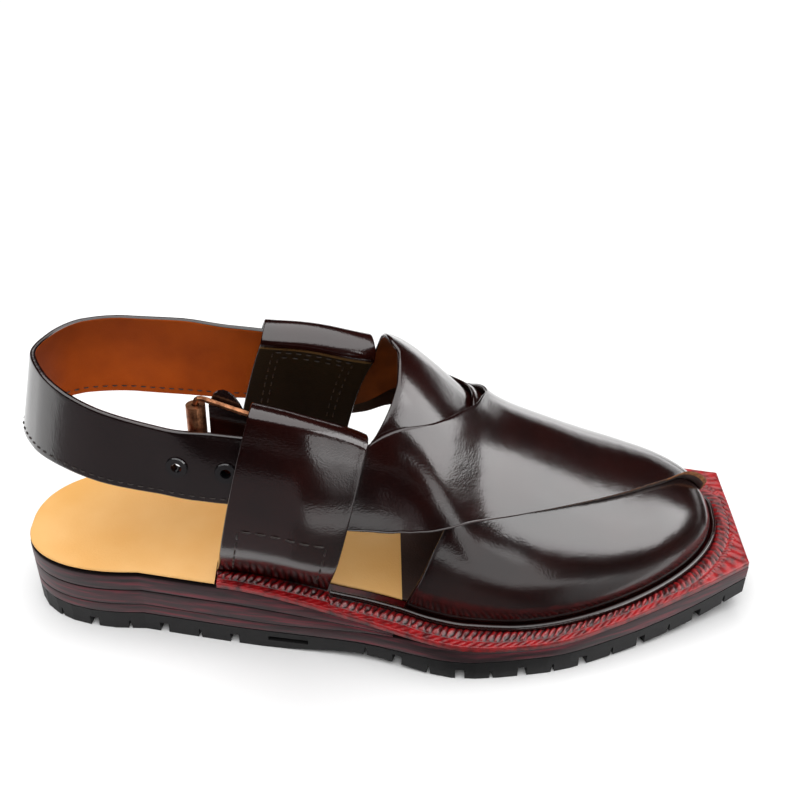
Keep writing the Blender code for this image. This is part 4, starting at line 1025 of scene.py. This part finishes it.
# %% Instep piece
INSTEP_WALL = 0.0018
INSTEP_GAP = 0.0008
x, place = patch(INSTEP_REAR, INSTEP_FRONT, (INSTEP_REAR[0], INSTEP_FRONT[0]),
                 (INSTEP_REAR[-1], INSTEP_FRONT[-1]), 110, 36)
# Its lining side is painted darker, as the shade inside the fold.
instep = last_sheet("folded_instep_piece", x, place, -INSTEP_GAP - INSTEP_WALL / 2, INSTEP_WALL,
                    [calf, instep_lining_painted_shade, calf_edge])
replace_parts(instep, "instep_piece")


# %% [markdown]
# ## Side loops
# On each side a strip of the same calf rises from the welt, folds over at the top and goes down
# inside, so it makes a tunnel for the strap and for the panels' ends. Its lower part is sewn through
# with an open rectangle of black thread, and the inner loop shows a double row on its inside.

# %% Loop strips
LOOP_WALL = 0.0018
LOOP_OUTER = 0.0051
LOOP_INNER = 0.0063
LOOP_CLOSE = 0.30
LOOP_CROWN = 0.017
LOOP_ROUND = 0.55
FOLD_STEPS = 14
LOOPS = dict(
    lateral=dict(side=-1, foot=(0.2815, 0.436), top=(0.346, 0.490), fold=(0.945, 0.815)),
    medial=dict(side=1, foot=(0.2815, 0.436), top=(0.346, 0.498), fold=(0.912, 0.847)),
)
LOOP_REAR = LOOPS["lateral"]["top"][0] * TOE_TIP


def loop_place(loop, share, rise):
    """Where on the last a loop's leg lies, at a share of its width and of its height."""
    foot, top, fold = (loop[k][0] + (loop[k][1] - loop[k][0]) * share for k in ("foot", "top", "fold"))
    fold = fold + LOOP_CROWN * np.sin(math.pi * share)
    crown = 1 - np.abs(wall_place(loop["side"], top * TOE_TIP, fold * INSTEP_HEIGHT))
    return TOE_TIP * (foot + (top - foot) * rise), loop["side"] * (1 - crown * rise)


def loop_column(loop, share, leg):
    """One line up the outer leg, over the fold and down the inner leg."""
    x, place = loop_place(loop, share, leg)
    part = soft_step(leg, 0, LOOP_CLOSE)
    near = LOOP_WALL / 2 + CLEARANCE
    outer = off_last(x, place, near + (LOOP_OUTER - near) * part)
    inner = off_last(x, place, -near - (LOOP_INNER - near) * part)
    middle, reach = (outer[-1] + inner[-1]) / 2, (outer[-1] - inner[-1]) / 2
    up = outer[-1] + inner[-1] - outer[-2] - inner[-2]
    up -= reach * (up @ reach) / (reach @ reach)
    up *= np.linalg.norm(reach) / np.linalg.norm(up)
    bend = np.linspace(0, math.pi, FOLD_STEPS + 2)[1:-1, None]
    over_fold = middle + reach * np.cos(bend) + up * np.sin(bend) * LOOP_ROUND
    return np.concatenate([outer, over_fold, inner[::-1]])


def loop_strip(name, loop):
    leg = np.r_[0.0, 0.008, 0.02, np.linspace(0.04, 1.0, 44)]
    grid = np.array([loop_column(loop, share, leg) for share in edged(30, 0.018)])
    walls = two_walls(grid, LOOP_WALL)
    for face in walls:
        face[..., 2] = np.maximum(face[..., 2], base_height(face[..., 0]))
    made = leather_sheet(name, *walls, [calf, calf, calf_edge, inner_calf_painted_shade])      # painted shade: darker, dull calf inside the fold
    inner_leg = len(leg) + FOLD_STEPS
    columns = grid.shape[1] - 1
    # Painted shade: the inner leg's faces take the dark matt calf.
    for polygon in made.data.polygons[:2 * columns * (grid.shape[0] - 1)]:
        if (polygon.index // 2) % columns > inner_leg and polygon.material_index < 2:
            polygon.material_index = 3
    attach(made, "root")
    return made


for name, loop in LOOPS.items():
    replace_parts(loop_strip(f"{name}_loop_strip", loop), f"side_loop_{name}")


# %% Loop stitches
def loop_line(loop, shares, rises, offset):
    """Points on a loop's face for thread, and the directions out of the leather there."""
    x, place = loop_place(loop, shares, rises)
    near = LOOP_WALL / 2 + CLEARANCE
    leg = near + ((LOOP_OUTER if offset > 0 else LOOP_INNER) - near) * soft_step(rises, 0, LOOP_CLOSE)
    face = math.copysign(1, offset) * (leg + LOOP_WALL / 2)
    points = off_last(x, place, face)
    out = off_last(x, place, face + math.copysign(0.001, offset)) - points
    return points, unit(out)


def rows_between(corners, count=30):
    """Straight runs between (share, rise) corners."""
    runs = []
    for a, b in zip(corners, corners[1:]):
        t = np.linspace(0, 1, count)
        runs.append((a[0] + (b[0] - a[0]) * t, a[1] + (b[1] - a[1]) * t))
    return runs


lateral, medial = LOOPS["lateral"], LOOPS["medial"]
runs = [loop_line(lateral, *run, 1) for run in
        rows_between(((0.14, 0.055), (0.13, 0.40), (0.86, 0.40), (0.88, 0.055)))]
stitch_run("lateral_loop_stitches", *zip(*runs), 0.0046, 0.0008, 0.0004)
runs = [loop_line(medial, *run, -1) for run in (
    *rows_between(((0.16, 0.45), (0.14, 0.95), (0.86, 0.95), (0.84, 0.45))),
    *rows_between(((0.22, 0.45), (0.20, 0.90), (0.80, 0.90), (0.78, 0.45))))]
stitch_run("medial_loop_stitches", *zip(*runs), 0.0026, 0.0012, 0.00028)


# %% [markdown]
# ## Heel strap
# The strap is calf on the outside and orange-stained lining inside, sewn together along the lower
# edge. It leans in at the heel, as a strap that rests on the back of a foot does. Two holes near the
# buckle take the eyelets.

# %% Strap
STRAP_WALL = 0.0022
STRAP_WIDTH = 0.037
STRAP_HEIGHT = 0.0975
STRAP_OFFSET = 0.0022
STRAP_SEAT = (LOOP_REAR - 0.0337, LOOP_REAR - 0.0117)
EYELETS = (LOOP_REAR - 0.0255, LOOP_REAR - 0.0085)
EYELET_HOLE = 0.0026
STRAP_STEPS = 260
STRAP = dict(
    at=(0.385, 0.325, 0.233, 0.152, 0.090, 0.052, 0.038, 0.060, 0.100, 0.152, 0.212, 0.262, 0.310,
        0.370),
    y=(0.262, 0.272, 0.288, 0.284, 0.240, 0.143, 0.027, -0.100, -0.198, -0.270, -0.312, -0.334,
       -0.345, -0.340),
    height=(0.905, 0.910, 0.928, 0.950, 0.975, 0.990, 1.000, 1.000, 0.992, 0.978, 0.962, 0.945,
            0.932, 0.915),
    width=(0.80, 0.97, 1.02, 1.02, 1.00, 0.96, 0.94, 0.88, 0.82, 0.79, 0.77, 0.76, 0.75, 0.74),
    lean=(0.0, 2.0, 3.0, 5.0, 8.0, 12.0, 14.0, 14.0, 12.0, 9.0, 5.0, 2.0, 0.0, 0.0),
)


def strap_grid(steps, shares):
    """Middle surface of the strap, from the medial loop round the heel to the lateral one."""
    knots = np.linspace(0, 1, len(STRAP["at"]))
    at = np.linspace(0, 1, steps)
    read = {k: smooth(dict(at=knots, v=v), "v", at) for k, v in STRAP.items()}
    centre = np.stack(
        [read["at"] * SOLE_LENGTH, read["y"] * BALL_WIDTH, read["height"] * STRAP_HEIGHT], axis=-1
    )
    run = unit(np.gradient(centre, axis=0))
    inward = unit(np.cross((0.0, 0.0, 1.0), run))
    lean = np.radians(read["lean"])[:, None]
    rise = np.cross(run, inward) * np.cos(lean) + inward * np.sin(lean)
    half = read["width"][:, None] * STRAP_WIDTH / 2
    grid = np.stack([centre + rise * half * s for s in shares], axis=1)
    flat = grid.reshape(-1, 3)
    blend = soft_step(flat[:, 0], *STRAP_SEAT)
    near = blend > 0
    x, y, z = flat[near].T
    seat = off_last(x, wall_place(np.sign(y), x, z), STRAP_OFFSET)
    flat[near, 1] += (seat[:, 1] - y) * blend[near]
    return grid


def eyelet_frames():
    """Centre and outward direction of each eyelet."""
    grid = strap_grid(361, np.linspace(-1, 1, 5))
    normals = grid_normals(grid)
    half = grid.shape[0] // 2
    frames = []
    for x in EYELETS:
        k = half + int(np.argmin(np.abs(grid[half:, 2, 0] - x)))
        frames.append((grid[k, 2], normals[k, 2] * -math.copysign(1, normals[k, 2, 1])))
    return frames


grid = strap_grid(STRAP_STEPS, edged(26, 0.03) * 2 - 1)
cells = (grid[:-1, :-1] + grid[1:, 1:] + grid[1:, :-1] + grid[:-1, 1:]) / 4
keep = np.ones(cells.shape[:2], bool)
for centre, _ in eyelet_frames():
    keep &= np.linalg.norm(cells - centre, axis=-1) > EYELET_HOLE
strap = leather_sheet("lined_heel_strap", *two_walls(grid, STRAP_WALL), [strap_calf, lining, calf_edge],
                      keep)
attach(strap, "root")
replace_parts(strap, "heel_strap")

# %% Strap stitches
STITCH_INSET = 0.0026                       # from the lower edge
MEAN_WIDTH = 0.85                           # share of the full width
near = strap_grid(STRAP_STEPS, (2 * STITCH_INSET / (STRAP_WIDTH * MEAN_WIDTH) - 1,))[:, 0]
out = grid_normals(strap_grid(STRAP_STEPS, np.linspace(-1, 1, 5)))[:, 2]
normals = (out, -out)
lines = [near + normal * STRAP_WALL / 2 for normal in normals]
stitch_run("strap_stitches", lines, normals, 0.0026, 0.0011, 0.00026)

# %% Eyelets and buckle
for name, finish in (("eyelet_1", enamel), ("eyelet_2", enamel), ("buckle_frame", copper),
                     ("buckle_roller", copper), ("buckle_prong", copper), ("buckle_tab", calf_edge)):
    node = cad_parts[name]
    node.data.materials.clear()
    node.data.materials.append(finish)
    print(f"{name}: {finish.name}")


# %% [markdown]
# ## Floor and lights
# The floor is bright enough to read as a white sweep and still takes the soft shadow under the sole.
# The large panel overhead lights it. The other panels and the cards are seen only in the gloss: one
# panel at the outer side makes the lower bands, and one behind the toe draws the bright rim.

# %% Floor
bpy.ops.mesh.primitive_plane_add(size=6.0, location=(0.1, 0.0, -0.0002))
floor = bpy.context.object
floor.name = "sweep"
floor.data.materials.append(paper)
floor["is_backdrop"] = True
print("floor:", floor.name)


# %% Lights
def soft_panel(name, place, width, height, power):
    data = bpy.data.lights.new(name, "AREA")
    data.shape = "RECTANGLE"
    data.size, data.size_y = width, height
    data.energy = power
    made = bpy.data.objects.new(name, data)
    made.location = place
    made.rotation_euler = (MIDDLE - Vector(place)).to_track_quat("-Z", "Y").to_euler()
    bpy.context.scene.collection.objects.link(made)
    return made


MIDDLE = Vector((0.10, 0.0, 0.05))


def round_middle(turn, rise, far):
    """A place seen from the shoe's middle at these angles in degrees; turn 0 is ahead of the toe."""
    a, b = math.radians(turn), math.radians(rise)
    return MIDDLE + far * Vector((math.cos(b) * math.cos(a), math.cos(b) * math.sin(a), math.sin(b)))


for name, turn, rise, far, width, height, power in (("toe_panel", -15, 30, 1.3, 1.8, 0.70, 19),
                                                    ("side_panel", -66, 4, 0.9, 0.25, 0.30, 0.5),
                                                    ("rim_panel", 65, 1, 0.45, 0.5, 0.14, 0.22)):
    panel = soft_panel(name, round_middle(turn, rise, far), width, height, power)
    panel.visible_diffuse = False
    panel.visible_camera = False
soft_panel("sky_panel", (0.05, -0.05, 1.6), 3.0, 3.0, 70)
print("lights:", ", ".join(sorted(light.name for light in bpy.data.lights)))

# %% Cards on the floor, seen only in the gloss
CARDS = dict(
    front_card=(enamel, ((-1.5, -1.7), (0.62, -1.7), (0.17, -0.17), (0.08, -0.17), (0.08, -0.30),
                         (-1.5, -0.30))),
    toe_card=(enamel, ((1.2, -1.7), (1.8, -1.7), (1.8, 0.25), (0.31, 0.25), (0.31, -0.12), (0.24, -0.17))),
    near_card=(enamel, ((0.06, -0.12), (0.31, -0.12), (0.31, -0.06), (0.06, -0.06))),
    heel_card=(card_grey, ((-1.5, -0.30), (0.08, -0.30), (0.08, -0.12), (0.06, -0.12), (0.06, -0.06),
                           (-1.5, -0.06))),
)
for name, (finish, corners) in CARDS.items():
    mesh = bpy.data.meshes.new(name)
    mesh.from_pydata([(x, y, 0.0) for x, y in corners], [], [tuple(range(len(corners)))])
    mesh.materials.append(finish)
    card = bpy.data.objects.new(name, mesh)
    bpy.context.scene.collection.objects.link(card)
    card.visible_camera = False
    card.visible_diffuse = False
    card.visible_shadow = False
    card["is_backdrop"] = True
print("cards:", ", ".join(CARDS))

# %% Room
world = bpy.data.worlds.new("room")
bpy.context.scene.world = world
world.use_nodes = True
world.node_tree.nodes["Background"].inputs["Color"].default_value = (1.0, 1.0, 1.0, 1.0)
world.node_tree.nodes["Background"].inputs["Strength"].default_value = 1.0
world.cycles_visibility.diffuse = False
world.cycles_visibility.glossy = False
bpy.context.scene.view_settings.view_transform = "Standard"
print("room:", world.name)

# %% Finish
low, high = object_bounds()
print("size with looks, mm:", [round((b - a) * 1000, 1) for a, b in zip(low, high)])
